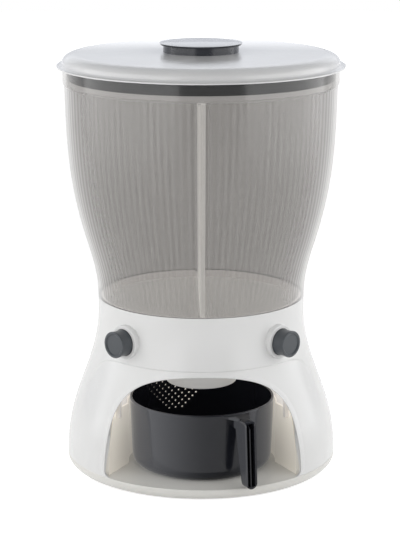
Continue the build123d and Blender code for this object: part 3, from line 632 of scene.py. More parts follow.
# The bay floor carries a painted glow.
WHITE_TRAY = MouldedPlastic(
    "white_tray", Slot.WHITE, (0.77, 0.76, 0.725), (0.745, 0.73, 0.69), 0.24,
    glow=PaintedGlow(0.05, 0.05, inside_mm=143.0),
)
WHITE_BEZEL = MouldedPlastic(
    "white_bezel", Slot.WHITE, (0.78, 0.78, 0.775), (0.755, 0.755, 0.745), 0.24,
    ripple_depth_mm=0.08,
)
# The lid's plug below the seal, seen through the bin, carries a painted glow that is stronger
# towards the back.
WHITE_LID = MouldedPlastic(
    "white_lid", Slot.WHITE, (0.71, 0.71, 0.71), (0.68, 0.68, 0.685), 0.2,
    glow=PaintedGlow(0.5, 0.5, low_mm=300.0, behind=0.5, behind_mm=(0.0, 130.0), below_mm=416.2),
)
# The liner is white plastic: its cream tint is painted warm light, and it carries a painted glow.
LINER_PAINTED_WARM = MouldedPlastic(
    "liner_painted_warm", Slot.INNER, (0.74, 0.695, 0.62), (0.71, 0.67, 0.59), 0.4, grain_depth_mm=0.006,
    glow=PaintedGlow(0.28, 0.58, behind=0.22),
)
# The hood is white plastic: its warm tint is painted warm light, and its painted glow is weaker on
# the front tab, which paints shade there.
HOOD_PAINTED_WARM = MouldedPlastic(
    "hood_painted_warm", Slot.INNER, (0.78, 0.745, 0.71), (0.75, 0.72, 0.68), 0.4, grain_depth_mm=0.006,
    glow=PaintedGlow(0.42, 0.55, behind=0.22, front_mm=-82.5),
)
# The chute carries a painted glow.
WHITE_CHUTE = MouldedPlastic(
    "white_chute", Slot.INNER, (0.74, 0.74, 0.73), (0.71, 0.71, 0.70), 0.35, glow=PaintedGlow(0.1, 0.14)
)
WHITE_INNER = MouldedPlastic(
    "white_inner", Slot.INNER, (0.78, 0.775, 0.76), (0.75, 0.74, 0.72), 0.35
)
# The hopper carries a painted glow, standing in for light that reaches it through the bin.
WHITE_HOPPER = MouldedPlastic(
    "white_hopper", Slot.WHITE, (0.78, 0.775, 0.76), (0.75, 0.74, 0.72), 0.35, glow=PaintedGlow(0.25, 0.25)
)
# The divider carries a strong painted glow, standing in for light that reaches it through the bin.
WHITE_DIVIDER = MouldedPlastic(
    "white_divider", Slot.INNER, (0.80, 0.80, 0.78), (0.77, 0.77, 0.75), 0.35, glow=PaintedGlow(0.8, 0.8)
)
# The bowl carries a painted reflection of the bay's walls on its flanks and handle.
CHARCOAL = MouldedPlastic(
    "charcoal_gloss", Slot.DARK, (0.0125, 0.0135, 0.018), (0.0105, 0.0115, 0.0155), 0.14,
    ripple_depth_mm=0.05, ior=1.38,
    painted_sheen=PaintedSheen((0.92, 0.94, 1.0), 0.076, 0.062, left_mm=(-72.0, 10.0)),
)
CHARCOAL_KNOB = MouldedPlastic(
    "charcoal_knob", Slot.DARK, (0.03, 0.033, 0.042), (0.026, 0.028, 0.036), 0.26, coat=0.5
)
CHARCOAL_BUTTON = MouldedPlastic(
    "charcoal_satin", Slot.DARK, (0.058, 0.066, 0.075), (0.05, 0.057, 0.065), 0.33,
    grain_depth_mm=0.006,
)
SEAL_SILICONE = MouldedPlastic(
    "seal_silicone", Slot.SEAL, (0.014, 0.014, 0.017), (0.011, 0.011, 0.014), 0.4,
    smudge=0.03, ior=1.2,
)
PAD_RUBBER = MouldedPlastic(
    "pad_rubber", Slot.PADS, (0.16, 0.16, 0.16), (0.12, 0.12, 0.12), 0.75, grain_depth_mm=0.02
)
SMOKE_CLEAR = ClearPlastic(
    "smoke_clear", Slot.CLEAR, (0.66, 0.65, 0.64), (0.60, 0.585, 0.575), haze=0.1, edge_haze=0.62,
    edge_power=4.0, gloss_roughness=0.3, flutes=120,
)
ZINC = PlainSteel("zinc_steel", Slot.STEEL, (0.62, 0.62, 0.63), 0.28)


# ---------------------------------------------------------------- mesh tools

# Distances in metres under which vertices are welded and edges dissolved.
WELD = 2e-6
SLIVER = 1e-7


def rounded(corners: Sequence[Point], radius: float, steps: int = 5) -> list[Point]:
    """Round the corners of a closed outline.

    Args:
        corners: Its corners.
        radius: Radius of the rounding.
        steps: Number of pieces in each rounding.

    Returns:
        The outline's points.
    """
    points: list[Point] = []
    for index, corner in enumerate(corners):
        here = Vector(corner)
        before = Vector(corners[index - 1]) - here
        after = Vector(corners[(index + 1) % len(corners)]) - here
        reach = radius / math.tan(before.angle(after) / 2.0)
        start = here + before.normalized() * reach
        end = here + after.normalized() * reach
        for step in range(steps + 1):
            share = step / steps
            point = start.lerp(here, share).lerp(here.lerp(end, share), share)
            points.append((point.x, point.y))
    return points


def spline(
    points: Sequence[Point], start: Point | None = None, end: Point | None = None, *, steps: int
) -> list[Point]:
    """Smooth curve through points.

    Args:
        points: Points that the curve passes through.
        start: Direction at the first point, if it is fixed.
        end: Direction at the last point, if it is fixed.
        steps: Number of pieces between two points.

    Returns:
        Points along the curve.
    """
    nodes = np.array(points, float)
    spans = np.linalg.norm(np.diff(nodes, axis=0), axis=1)
    count = len(nodes)
    matrix = np.zeros((count, count))
    right = np.zeros((count, 2))
    for index in range(1, count - 1):
        low, high = spans[index - 1], spans[index]
        matrix[index, index - 1 : index + 2] = 1 / low, 2 / low + 2 / high, 1 / high
        right[index] = 3 * (nodes[index] - nodes[index - 1]) / low**2
        right[index] += 3 * (nodes[index + 1] - nodes[index]) / high**2
    ends = ((0, 1, spans[0], start), (count - 1, count - 2, spans[-1], end))
    for index, other, span, fixed in ends:
        if fixed is None:
            matrix[index, index], matrix[index, other] = 2.0, 1.0
            right[index] = 3 * (nodes[max(index, other)] - nodes[min(index, other)]) / span
        else:
            matrix[index, index] = 1.0
            right[index] = np.array(fixed) / np.linalg.norm(fixed)
    slopes = np.linalg.solve(matrix, right)
    made: list[Point] = [(float(nodes[0, 0]), float(nodes[0, 1]))]
    for index, span in enumerate(spans):
        for step in range(1, steps + 1):
            u = step / steps
            point = (
                (2 * u**3 - 3 * u**2 + 1) * nodes[index]
                + (u**3 - 2 * u**2 + u) * span * slopes[index]
                + (3 * u**2 - 2 * u**3) * nodes[index + 1]
                + (u**3 - u**2) * span * slopes[index + 1]
            )
            made.append((float(point[0]), float(point[1])))
    return made


def end_direction(points: Sequence[Point]) -> Point:
    """Direction in which a curve leaves its first point.

    Args:
        points: Points of the curve; the cubic through the first four gives the direction.

    Returns:
        The direction.
    """
    nodes = np.array(points[:4], float)
    along = np.concatenate(([0.0], np.cumsum(np.linalg.norm(np.diff(nodes, axis=0), axis=1))))
    slopes = [float(np.polyfit(along, nodes[:, axis], 3)[2]) for axis in (0, 1)]
    return slopes[0], slopes[1]


def around(radius: float, turn: float, height: float) -> Place:
    """Point at a radius and height, turned from the front to the right by an angle in radians."""
    return radius * math.sin(turn), -radius * math.cos(turn), height


def linked(name: str, data: bpy.types.ID) -> bpy.types.Object:
    """Put a new object into the scene.

    Args:
        name: Its name.
        data: Its mesh, light or camera.

    Returns:
        The object.
    """
    made = bpy.data.objects.new(name, data)
    bpy.context.scene.collection.objects.link(made)
    return made


class MeshMaker:
    """Collects vertices and faces in millimetres and turns them into a piece in metres."""

    def __init__(self) -> None:
        """Start empty."""
        self.mesh = bmesh.new()

    def grid(
        self, rows: Sequence[Sequence[Place]], closed_rows: bool, closed_columns: bool
    ) -> None:
        """Add a grid of quads.

        Args:
            rows: Rows of points, each as long as the others.
            closed_rows: Whether the last row joins the first.
            closed_columns: Whether each row's last point joins its first.
        """
        made = [[self.mesh.verts.new(Vector(point) * MM) for point in row] for row in rows]
        height, width = len(made), len(made[0])
        for i in range(height if closed_rows else height - 1):
            for j in range(width if closed_columns else width - 1):
                a, b = made[i][j], made[i][(j + 1) % width]
                c, d = made[(i + 1) % height][(j + 1) % width], made[(i + 1) % height][j]
                self.mesh.faces.new((a, b, c, d))

    def turned(self, outline: Sequence[Point], segments: int = 192) -> "MeshMaker":
        """Add a solid of revolution.

        Args:
            outline: Closed outline as radius and height.
            segments: Number of segments round the axis.

        Returns:
            This maker.
        """
        turns = [math.tau * index / segments for index in range(segments)]
        self.grid([[around(r, turn, z) for r, z in outline] for turn in turns], True, True)
        return self

    def piece(self, name: str, crease_degrees: float = 32.0) -> bpy.types.Object:
        """Weld, orient and smooth the mesh and hand it over as an object.

        Args:
            name: Name of the piece.
            crease_degrees: Edges that turn more than this stay sharp.

        Returns:
            The piece.
        """
        bmesh.ops.remove_doubles(self.mesh, verts=self.mesh.verts, dist=WELD)
        bmesh.ops.dissolve_degenerate(self.mesh, edges=self.mesh.edges, dist=SLIVER)
        bmesh.ops.recalc_face_normals(self.mesh, faces=self.mesh.faces)
        data = bpy.data.meshes.new(name)
        self.mesh.to_mesh(data)
        self.mesh.free()
        data.shade_smooth()
        data.set_sharp_from_angle(angle=math.radians(crease_degrees))
        return linked(name, data)


# ---------------------------------------------------------------- sub-assemblies

@dataclass
class Wardrobe:
    """Makes each finish once and hands out its material."""

    made: dict[str, bpy.types.Material] = field(default_factory=dict)

    def material(self, finish: Finish) -> bpy.types.Material:
        """Material of a finish, made on first use.

        Args:
            finish: The finish.

        Returns:
            Its material.
        """
        if finish.name not in self.made:
            self.made[finish.name] = finish.build()
        return self.made[finish.name]


@dataclass
class Assembly:
    """A sub-assembly: it dresses CAD nodes and adds pieces of its own."""

    wardrobe: Wardrobe
    names: list[str] = field(default_factory=list)

    def dress(self, finish: Finish, *nodes: str) -> None:
        """Give CAD nodes their finish.

        Args:
            finish: The finish.
            nodes: Names of the nodes.
        """
        for node in nodes:
            self._put_on(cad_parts[node], finish)
            self.names.append(node)

    def add(self, piece: bpy.types.Object, body: Body, finish: Finish, *replaced: str) -> None:
        """Let a piece ride on its body, with its finish.

        Args:
            piece: The piece.
            body: The body it moves with.
            finish: Its finish.
            replaced: CAD nodes that it stands for.
        """
        self._put_on(piece, finish)
        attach(piece, body.value)
        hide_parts(*replaced)
        self.names.append(piece.name)

    def _put_on(self, piece: bpy.types.Object, finish: Finish) -> None:
        """Put one material on a piece.

        Args:
            piece: The piece.
            finish: Its finish.
        """
        piece.data.materials.clear()
        piece.data.materials.append(self.wardrobe.material(finish))


@dataclass(frozen=True)
class Housing:
    """Outer shell: its flank, the arch with a soft border and slanted return, and the recess.

    All sizes are in millimetres, and azimuths count from the front in degrees.
    """

    floor: float = 12.0
    top: float = 184.0
    wall: float = 3.0
    flank: tuple[Point, ...] = FLANK
    arch: tuple[Point, ...] = (
        (102.2, 18.0), (99.0, 50.0), (89.0, 83.0), (68.0, 107.0), (33.0, 120.0), (0.0, 122.5),
    )
    toe_radius: float = 6.0
    lip_depth: float = 6.5
    lip_thickness: float = 3.0
    border: tuple[Point, ...] = (
        (0.0, 3.0), (0.0, 1.5), (0.1, 0.95), (0.38, 0.45), (0.85, 0.14), (1.5, 0.0), (2.5, -0.04),
        (3.4, 0.02), (4.1, 0.2), (4.5, 0.38), (4.9, 0.46), (5.3, 0.46), (5.7, 0.42),
    )
    recess_depth: float = 1.25
    recess_edge: tuple[Point, ...] = (
        (58.0, 12.0), (60.0, 30.0), (64.5, 50.0), (68.6, 65.0), (71.2, 79.0), (72.9, 99.0),
        (71.3, 110.0), (66.5, 120.4), (60.0, 126.4), (52.0, 129.2), (40.0, 129.8), (20.0, 129.8),
        (0.0, 129.8),
    )
    recess_fade: Point = (46.0, 96.0)
    recess_softness: Point = (2.2, 11.0)
    recess_soft_heights: Point = (100.0, 126.0)
    back_azimuth: float = 78.0
    back_columns: int = 97
    corner_share: float = 0.56
    flank_steps: int = 30
    arch_steps: int = 26
    recess_steps: int = 60
    middle_steps: int = 8
    toe_steps: int = 8
    near_rows: int = 24
    near_ease: float = 1.5
    far_rows: int = 26
    far_ease: float = 1.3
    crease: float = 50.0
    wall_distance: float = 65.35
    wall_angle: float = 26.7
    bowl_centre: float = -49.0
    button_azimuth: float = 45.0
    button_height: float = 151.5
    hole_radius: float = 15.0

    def radius(self, height: np.ndarray) -> np.ndarray:
        """Outer radius of the flank at heights."""
        curve = np.array(spline(self.flank, (0, 1), (0, 1), steps=self.flank_steps))
        return np.interp(height, curve[:, 1], curve[:, 0])

    def edge(self) -> tuple[np.ndarray, np.ndarray]:
        """Right half of the arch's edge and its outward directions, seen from the front.

        Returns:
            Points from the toe to the apex, and unit vectors that point away from the opening.
        """
        radius = self.toe_radius
        centre = (self.arch[0][0] - radius, self.arch[0][1])
        turn = np.linspace(-math.pi / 2, 0, self.toe_steps + 1)[:-1]
        toe = np.stack([centre[0] + radius * np.cos(turn), centre[1] + radius * np.sin(turn)], 1)
        side = np.array(spline(self.arch, (0, 1), (-1, 0), steps=self.arch_steps))
        along = np.gradient(side, axis=0)
        along[0], along[-1] = (0, 1), (-1, 0)
        normal = np.stack([along[:, 1], -along[:, 0]], 1)
        normal /= np.linalg.norm(normal, axis=1)[:, None]
        level = np.tile((1.0, 0.0), (len(toe), 1))
        return np.concatenate([toe, side]), np.concatenate([level, normal])

    def recess(self, azimuth: np.ndarray, height: np.ndarray) -> np.ndarray:
        """How far the surface lies behind the flank, from the distance to the recess's edge.

        Args:
            azimuth: Azimuths in degrees.
            height: Heights.

        Returns:
            Depths.
        """
        line = np.array(spline(self.recess_edge, steps=self.recess_steps))
        along = np.gradient(line, axis=0)
        scale = (math.radians(1.0) * self.radius(height))[:, None]
        across = (np.abs(azimuth)[:, None] - line[None, :, 0]) * scale
        up = height[:, None] - line[None, :, 1]
        gap = np.hypot(across, up)
        nearest = gap.argmin(1)
        pick = (np.arange(len(height)), nearest)
        side = along[nearest, 0] * scale[:, 0] * up[pick] - along[nearest, 1] * across[pick]
        sharp, soft = self.recess_softness
        low, high = self.recess_soft_heights
        softness = sharp + (soft - sharp) * np.clip((high - line[nearest, 1]) / (high - low), 0, 1)
        share = np.clip(gap[pick] / softness, 0, 1) * (side > 0)
        low, high = self.recess_fade
        fade = np.clip((height - low) / (high - low), 0, 1)
        return self.recess_depth * share**2 * (3 - 2 * share) * fade**2 * (3 - 2 * fade)

    def seen_at(self, spot: np.ndarray, depth: float) -> np.ndarray:
        """Points at a depth under the surface, where the front view shows them.

        Args:
            spot: Places in the front view.
            depth: Depth under the recessed surface.

        Returns:
            Points in space.
        """
        x, height = spot[:, 0], spot[:, 1]
        radius = self.radius(height) - depth
        azimuth = np.degrees(np.arcsin(x / radius))
        radius = radius - self.recess(azimuth, height)
        return np.stack([x, -np.sqrt(radius**2 - x**2), height], 1)

    def return_end(self, spot: np.ndarray) -> np.ndarray:
        """Where the arch's return ends in the front view: behind the edge, or at the bay's wall.

        Args:
            spot: Places on the arch's edge.

        Returns:
            Places in the front view.
        """
        turn = math.radians(self.wall_angle)
        reach = self.wall_distance
        foot = np.array((reach * math.cos(turn), self.bowl_centre + reach * math.sin(turn)))
        along = np.array((math.sin(turn), -math.cos(turn)))
        slope = foot @ along
        radius = self.radius(spot[:, 1]) - self.lip_depth
        run = np.sqrt(slope**2 - foot @ foot + radius**2) - slope
        return np.stack([np.minimum(spot[:, 0], foot[0] + run * along[0]), spot[:, 1]], 1)

    def on_flank(self, spot: np.ndarray, depth: float) -> np.ndarray:
        """Points under the recessed flank.

        Args:
            spot: Azimuths in degrees, and heights.
            depth: Depth under the surface.

        Returns:
            Points in space.
        """
        radius = self.radius(spot[:, 1]) - self.recess(spot[:, 0], spot[:, 1]) - depth
        angle = np.radians(spot[:, 0])
        return np.stack([radius * np.sin(angle), -radius * np.cos(angle), spot[:, 1]], 1)

    def build(self) -> bpy.types.Object:
        """Make the shell from a grid that follows the arch and a grid for the back.

        Returns:
            The piece.
        """
        edge, normal = self.edge()
        run = np.concatenate([[0.0], np.cumsum(np.linalg.norm(np.diff(edge, axis=0), axis=1))])
        share = run / run[-1]
        corner = int(np.argmin(np.abs(share - self.corner_share)))
        rise = np.clip(share / share[corner], 0, 1)
        swing = np.clip((1 - share) / (1 - share[corner]), 0, 1)
        far = np.stack([self.back_azimuth * swing, self.floor + (self.top - self.floor) * rise], 1)
        line = np.array(spline(self.recess_edge, steps=self.middle_steps))
        ticks = np.linspace(0, 1, len(line))
        middle = np.stack([np.interp(share, ticks, line[:, axis]) for axis in (0, 1)], 1)

        border = [
            self.seen_at(self._grown(edge, normal, grow), depth) for grow, depth in self.border
        ]
        end = self.return_end(edge)
        lip = [
            self.seen_at(end, self.lip_depth),
            self.seen_at(end + self.lip_thickness * normal, self.lip_depth),
            self.seen_at(self._grown(edge, normal, self.lip_thickness), self.wall),
        ]
        last_grow, last_depth = self.border[-1]
        last = self._grown(edge, normal, last_grow)
        azimuth = np.degrees(np.arcsin(last[:, 0] / self.radius(last[:, 1])))
        start = np.stack([azimuth, last[:, 1]], 1)
        outer, inner = [], []
        near_steps = 1 - (1 - np.linspace(0, 1, self.near_rows + 1)[1:]) ** self.near_ease
        far_steps = np.linspace(0, 1, self.far_rows + 1)[1:] ** self.far_ease
        for first, second, steps in ((start, middle, near_steps), (middle, far, far_steps)):
            for step in steps:
                spot = first + (second - first) * step
                sink = last_depth * (1 - step) ** 3 if first is start else 0.0
                outer.append(self.on_flank(spot, sink))
                inner.append(self.on_flank(spot, self.wall))
        maker = MeshMaker()
        self._stitch(maker, outer[::-1], border[::-1] + lip, inner, corner)
        self._close_back(maker, far[: corner + 1, 1])
        return maker.piece("shell_outer", self.crease)

    def _grown(self, edge: np.ndarray, normal: np.ndarray, grow: float) -> np.ndarray:
        """Places in the front view beside the arch's edge, never below the floor.

        Args:
            edge: Places on the edge.
            normal: Directions away from the opening.
            grow: Distance from the edge.

        Returns:
            The places.
        """
        spot = edge + grow * normal
        spot[:, 1] = np.maximum(spot[:, 1], self.floor)
        return spot

    def _stitch(
        self,
        maker: MeshMaker,
        outer: list[np.ndarray],
        rim: list[np.ndarray],
        inner: list[np.ndarray],
        corner: int,
    ) -> None:
        """Join the rings round the arch, leaving out the buttons' holes.

        Args:
            maker: Takes the faces.
            outer: Rows of the outside, from the far boundary to the arch.
            rim: Rows over the arch's border and lip.
            inner: Rows of the inside, from the arch to the far boundary.
            corner: Column whose far end is the corner of the front grid.
        """
        mirror = np.array((-1.0, 1.0, 1.0))
        rows = [np.concatenate([row, row[-2::-1] * mirror]) for row in outer + rim + inner]
        columns, count = len(rows[0]), len(rows)
        open_cells = self._open_cells([rows[index] for index in range(len(outer))])
        made = [[maker.mesh.verts.new(Vector(point) * MM) for point in row] for row in rows]

        def quad(i: int, j: int, k: int, m: int) -> None:
            """Face between columns i and j of rows k and m."""
            maker.mesh.faces.new((made[k][i], made[k][j], made[m][j], made[m][i]))

        for row in range(count - 1):
            mate = count - 2 - row
            for column in range(columns - 1):
                if (row, column) not in open_cells and (mate, column) not in open_cells:
                    quad(column, column + 1, row, row + 1)
        for column in range(corner, columns - 1 - corner):
            quad(column, column + 1, count - 1, 0)
        for column in (0, columns - 1):
            maker.mesh.faces.new([made[row][column] for row in range(count)])
        for row, column in open_cells:
            far, near = count - 1 - row, count - 2 - row
            for other, first, second in (
                ((row, column - 1), (row, column), (row + 1, column)),
                ((row, column + 1), (row, column + 1), (row + 1, column + 1)),
                ((row - 1, column), (row, column), (row, column + 1)),
                ((row + 1, column), (row + 1, column), (row + 1, column + 1)),
            ):
                if other not in open_cells:
                    inside = [(far if k == row else near, i) for k, i in (second, first)]
                    maker.mesh.faces.new([made[k][i] for k, i in (first, second, *inside)])

    def _open_cells(self, outside: list[np.ndarray]) -> set[tuple[int, int]]:
        """Cells of the outside that lie in a button's hole.

        Args:
            outside: Rows of the outside.

        Returns:
            Row and column of each cell.
        """
        grid = np.array(outside)
        turn = math.radians(self.button_azimuth)
        open_points = np.zeros(grid.shape[:2], bool)
        for side in (-1, 1):
            across = grid[..., 0] * math.cos(turn) + side * grid[..., 1] * math.sin(turn)
            gap = np.hypot(across, grid[..., 2] - self.button_height)
            open_points |= (gap < self.hole_radius) & (side * grid[..., 0] > 0)
        rows = open_points[:-1] | open_points[1:]
        cells = rows[:, :-1] | rows[:, 1:]
        return {(int(row), int(column)) for row, column in zip(*np.nonzero(cells))}

    def _close_back(self, maker: MeshMaker, heights: np.ndarray) -> None:
        """Add the back of the shell, inside and outside, with its upper and lower edges.

        Args:
            maker: Takes the faces.
            heights: Heights of the front grid's side boundary.
        """
        azimuths = np.linspace(self.back_azimuth, 360 - self.back_azimuth, self.back_columns)
        turns = np.radians(azimuths)
        radius = self.radius(heights)
        loop = [*zip(radius, heights), *zip(radius[::-1] - self.wall, heights[::-1])]
        maker.grid([[around(r, turn, z) for r, z in loop] for turn in turns], False, True)


@dataclass
class Base(Assembly):
    """Tray, pads, shell and the screws between them."""

    housing: Housing = Housing()

    def build(self) -> None:
        """Make the shell and dress the rest."""
        self.add(self.housing.build(), Body.BASE, WHITE_SHELL, "base_shell")
        self.dress(WHITE_TRAY, "base_tray")
        self.dress(PAD_RUBBER, "rubber_pads")
        self.dress(ZINC, "base_screws")


@dataclass
class Bay(Assembly):
    """Walls, ceiling and chute over the bowl."""

    def build(self) -> None:
        """Dress the bay."""
        self.dress(LINER_PAINTED_WARM, "bay_liner")
        self.dress(HOOD_PAINTED_WARM, "bay_hood")
        self.dress(WHITE_CHUTE, "chute")


@dataclass
class Gates(Assembly):
    """Push buttons, their collars and springs, and the gates that they move.

    Sizes are in millimetres.
    """

    spring_start: float = 96.0
    spring_length: float = 30.6
    spring_radius: float = 8.6
    spring_height: float = 151.5
    wire: float = 1.2
    wire_sides: int = 10
    turns: int = 7
    turn_steps: int = 36
    stroke: float = 12.0

    def build(self) -> None:
        """Dress both sides, and wind a spring on each button's axis."""
        self.dress(WHITE_INNER, "gate_carrier")
        for side, sign in (("left", -1.0), ("right", 1.0)):
            self.dress(CHARCOAL_BUTTON, "button_" + side)
            self.dress(WHITE_BEZEL, "button_bezel_" + side)
            self.dress(WHITE_INNER, "gate_slide_" + side)
            outward = Vector((sign, -1.0, 0.0)).normalized()
            coil = self._spring(outward).piece("return_coil_" + side)
            self.add(coil, Body.BASE, ZINC, "return_spring_" + side)
            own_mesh(coil)

    def _spring(self, outward: Vector) -> MeshMaker:
        """Wind one coil along a button's axis.

        Args:
            outward: Direction of the axis, out of the housing.

        Returns:
            The maker that holds the coil.
        """
        up = Vector((0.0, 0.0, 1.0))
        across = up.cross(outward)
        steps = self.turn_steps * self.turns
        angles = [math.tau * corner / self.wire_sides for corner in range(self.wire_sides)]
        rows = []
        for index in range(-1, steps + 2):
            share = min(max(index / steps, 0.0), 1.0)
            turn = math.tau * self.turns * share
            radial = across * math.cos(turn) + up * math.sin(turn)
            along = self.spring_start + self.wire / 2 + (self.spring_length - self.wire) * share
            centre = outward * along + radial * self.spring_radius + up * self.spring_height
            thick = self.wire / 2 if 0 <= index <= steps else 0.0
            ring = [radial * math.cos(angle) + outward * math.sin(angle) for angle in angles]
            rows.append([centre + spoke * thick for spoke in ring])
        maker = MeshMaker()
        maker.grid(rows, False, True)
        return maker


@dataclass
class Bin(Assembly):
    """Clear bin with moulded flutes, and the hopper and divider inside it.

    Sizes are in millimetres, and the ribs hold the divider.
    """

    low: float = 184.0
    neck: float = 110.4
    flank: tuple[Point, ...] = (
        (114.2, 217.0), (123.6, 250.0), (136.9, 309.0), (142.0, 366.0), (143.3, 411.0)
    )
    wall: float = 2.6
    plug_radius: float = 107.2
    plug_low: float = 176.0
    rim: tuple[Point, ...] = (
        (145.1, 412.0), (145.1, 427.5), (142.3, 428.5), (142.3, 438.0), (140.7, 438.0)
    )
    flute_depth: float = 0.17
    flute_ends: tuple[float, ...] = (186.0, 196.0, 409.0, 411.0)
    flute_steps: int = 4
    row_step: float = 7.0
    row_margin: float = 2.0
    curve_steps: int = 24
    rib_near: float = 2.3
    rib_far: float = 5.3
    rib_depth: float = 6.0
    rib_high: float = 408.0
    rib_margin: float = 0.8
    near_columns: int = 3
    rib_columns: int = 4
    margin_columns: int = 3

    def build(self) -> None:
        """Make the bin and dress what stands in it."""
        self.dress(WHITE_HOPPER, "hopper")
        self.dress(WHITE_DIVIDER, "divider")
        self.add(self._bin(), Body.BASE, SMOKE_CLEAR, "bin")

    def _radii(self, inset: float, start: float, heights: np.ndarray) -> np.ndarray:
        """Radius of one side of the wall.

        Args:
            inset: Distance in from the outside.
            start: Radius at the lower end.
            heights: Heights at which the radius is wanted.

        Returns:
            The radius at each height.
        """
        points = [(start, self.low)] + [(radius - inset, height) for radius, height in self.flank]
        last = end_direction(points[::-1])
        backwards = (-last[0], -last[1])
        curve = np.array(spline(points, end_direction(points), backwards, steps=self.curve_steps))
        return np.interp(heights, curve[:, 1], curve[:, 0])

    def _section(self) -> list[tuple[float, float, float, bool]]:
        """Closed section of the wall, from the collar up the outside and down the inside.

        Returns:
            Radius, height, share of the flutes' depth, and whether a rib stands on the wall there.
        """
        first, full, last, top = self.flute_ends
        rows = np.arange(full, self.rib_high - self.row_margin, self.row_step)
        heights = np.array([self.low, first, *rows, self.rib_high, last, top])
        shares = np.interp(heights, self.flute_ends, (0.0, 1.0, 1.0, 0.0))
        outside = zip(self._radii(0.0, self.neck, heights), heights, shares)
        section = [(*point, False) for point in outside]
        section += [(radius, height, 0.0, False) for radius, height in self.rim]
        plug_inner = self.plug_radius - self.wall
        inside = zip(self._radii(self.wall, plug_inner, heights), heights, shares)
        for point in reversed(list(inside)):
            if point[1] >= self.rib_high:
                section.append((*point, False))
            if point[1] <= self.rib_high:
                section.append((*point, True))
        corners = ((plug_inner, self.low), (plug_inner, self.plug_low))
        corners += ((self.plug_radius, self.plug_low), (self.plug_radius, self.low))
        return section + [(radius, height, 0.0, False) for radius, height in corners]

    def _columns(self) -> list[tuple[float, float, bool]]:
        """Columns round the bin, close together at the ribs that hold the divider.

        Returns:
            For each column an angle and 0, or its X and the side it is on along Y, and whether it
            belongs to a rib.
        """
        near, far = self.rib_near, self.rib_far
        count, ribs, beyond = self.near_columns, self.rib_columns, self.margin_columns
        right = [(near * step / count, False) for step in range(count + 1)]
        right += [(near + (far - near) * step / ribs, True) for step in range(ribs + 1)]
        right += [(far + self.rib_margin * step, False) for step in range(beyond)]
        across = [(-x, rib) for x, rib in right[:0:-1]] + right
        count = SMOKE_CLEAR.flutes * self.flute_steps // 2
        step = math.pi / count
        skip = math.ceil((far + beyond * self.rib_margin) / (self.plug_radius - self.wall) / step)
        side = [step * index for index in range(skip, count - skip + 1)]
        columns = [(x, -1.0, rib) for x, rib in across]
        columns += [(turn, 0.0, False) for turn in side]
        columns += [(x, 1.0, rib) for x, rib in reversed(across)]
        columns += [(turn + math.pi, 0.0, False) for turn in side]
        return columns

    def _bin(self) -> bpy.types.Object:
        """Make the wall with its flutes, stepped rim, plug and ribs.

        Returns:
            The piece.
        """
        section = self._section()
        rows = []
        for place, side, on_rib in self._columns():
            row = []
            for radius, height, flute, ribbed in section:
                if on_rib and ribbed:
                    radius, flute = radius - self.rib_depth, 0.0
                turn = math.asin(place / radius) if side else place
                radius -= self.flute_depth * flute * (1.0 - math.cos(SMOKE_CLEAR.flutes * turn)) / 2
                if side:
                    row.append((place, side * math.sqrt(radius**2 - place**2), height))
                else:
                    row.append(around(radius, turn, height))
            rows.append(row)
        maker = MeshMaker()
        maker.grid(rows, True, True)
        return maker.piece("bin_wall")


@dataclass
class Lid(Assembly):
    """Lid with its seal, knob and screws; outlines are radius and height in millimetres."""

    seal: tuple[Point, ...] = ((136.0, 416.2), (140.4, 416.2), (140.4, 427.0), (136.0, 427.0))
    seal_rounding: float = 0.8
    knob: tuple[Point, ...] = (
        (0.0, 452.2), (0.0, 454.0), (37.2, 453.6), (43.2, 452.8), (42.4, 451.0),
        (39.7, 451.0), (39.7, 443.4), (37.3, 443.4), (37.3, 451.0), (20.0, 451.4),
    )

    def build(self) -> None:
        """Dress the lid, and add its seal and its domed knob with an overhanging rim."""
        self.dress(WHITE_LID, "lid")
        self.dress(ZINC, "knob_screws")
        ring = MeshMaker().turned(rounded(self.seal, self.seal_rounding)).piece("lid_seal_ring")
        self.add(ring, Body.LID, SEAL_SILICONE, "lid_seal")
        cap = MeshMaker().turned(self.knob).piece("lid_knob_cap")
        self.add(cap, Body.LID, CHARCOAL_KNOB, "lid_knob")


@dataclass
class Bowl(Assembly):
    """Bowl with its handle and drain."""

    def build(self) -> None:
        """Dress the bowl."""
        self.dress(CHARCOAL, "bowl")


# ---------------------------------------------------------------- studio

@dataclass(frozen=True)
class Softbox:
    """A soft panel light that stands upright and faces the dispenser.

    Azimuths count from the front towards the right, in degrees, and sizes are in metres.
    """

    name: str
    first_azimuth: float
    last_azimuth: float
    distance: float
    low: float
    high: float
    radiance: float
    colour: Colour = WHITE

    def build(self) -> None:
        """Hang the panel."""
        middle = math.radians((self.first_azimuth + self.last_azimuth) / 2)
        half = math.radians((self.last_azimuth - self.first_azimuth) / 2)
        width = 2 * self.distance * math.tan(half)
        height = self.high - self.low
        data = bpy.data.lights.new(self.name, "AREA")
        data.shape = "RECTANGLE"
        data.size, data.size_y = width, height
        data.energy = math.pi * width * height * self.radiance
        data.color = self.colour
        lamp = linked(self.name, data)
        lamp.location = around(self.distance, middle, (self.low + self.high) / 2)
        inward = Vector((-lamp.location.x, -lamp.location.y, 0.0))
        lamp.rotation_mode = "QUATERNION"
        lamp.rotation_quaternion = inward.to_track_quat("-Z", "Y")
        lamp.visible_camera = False


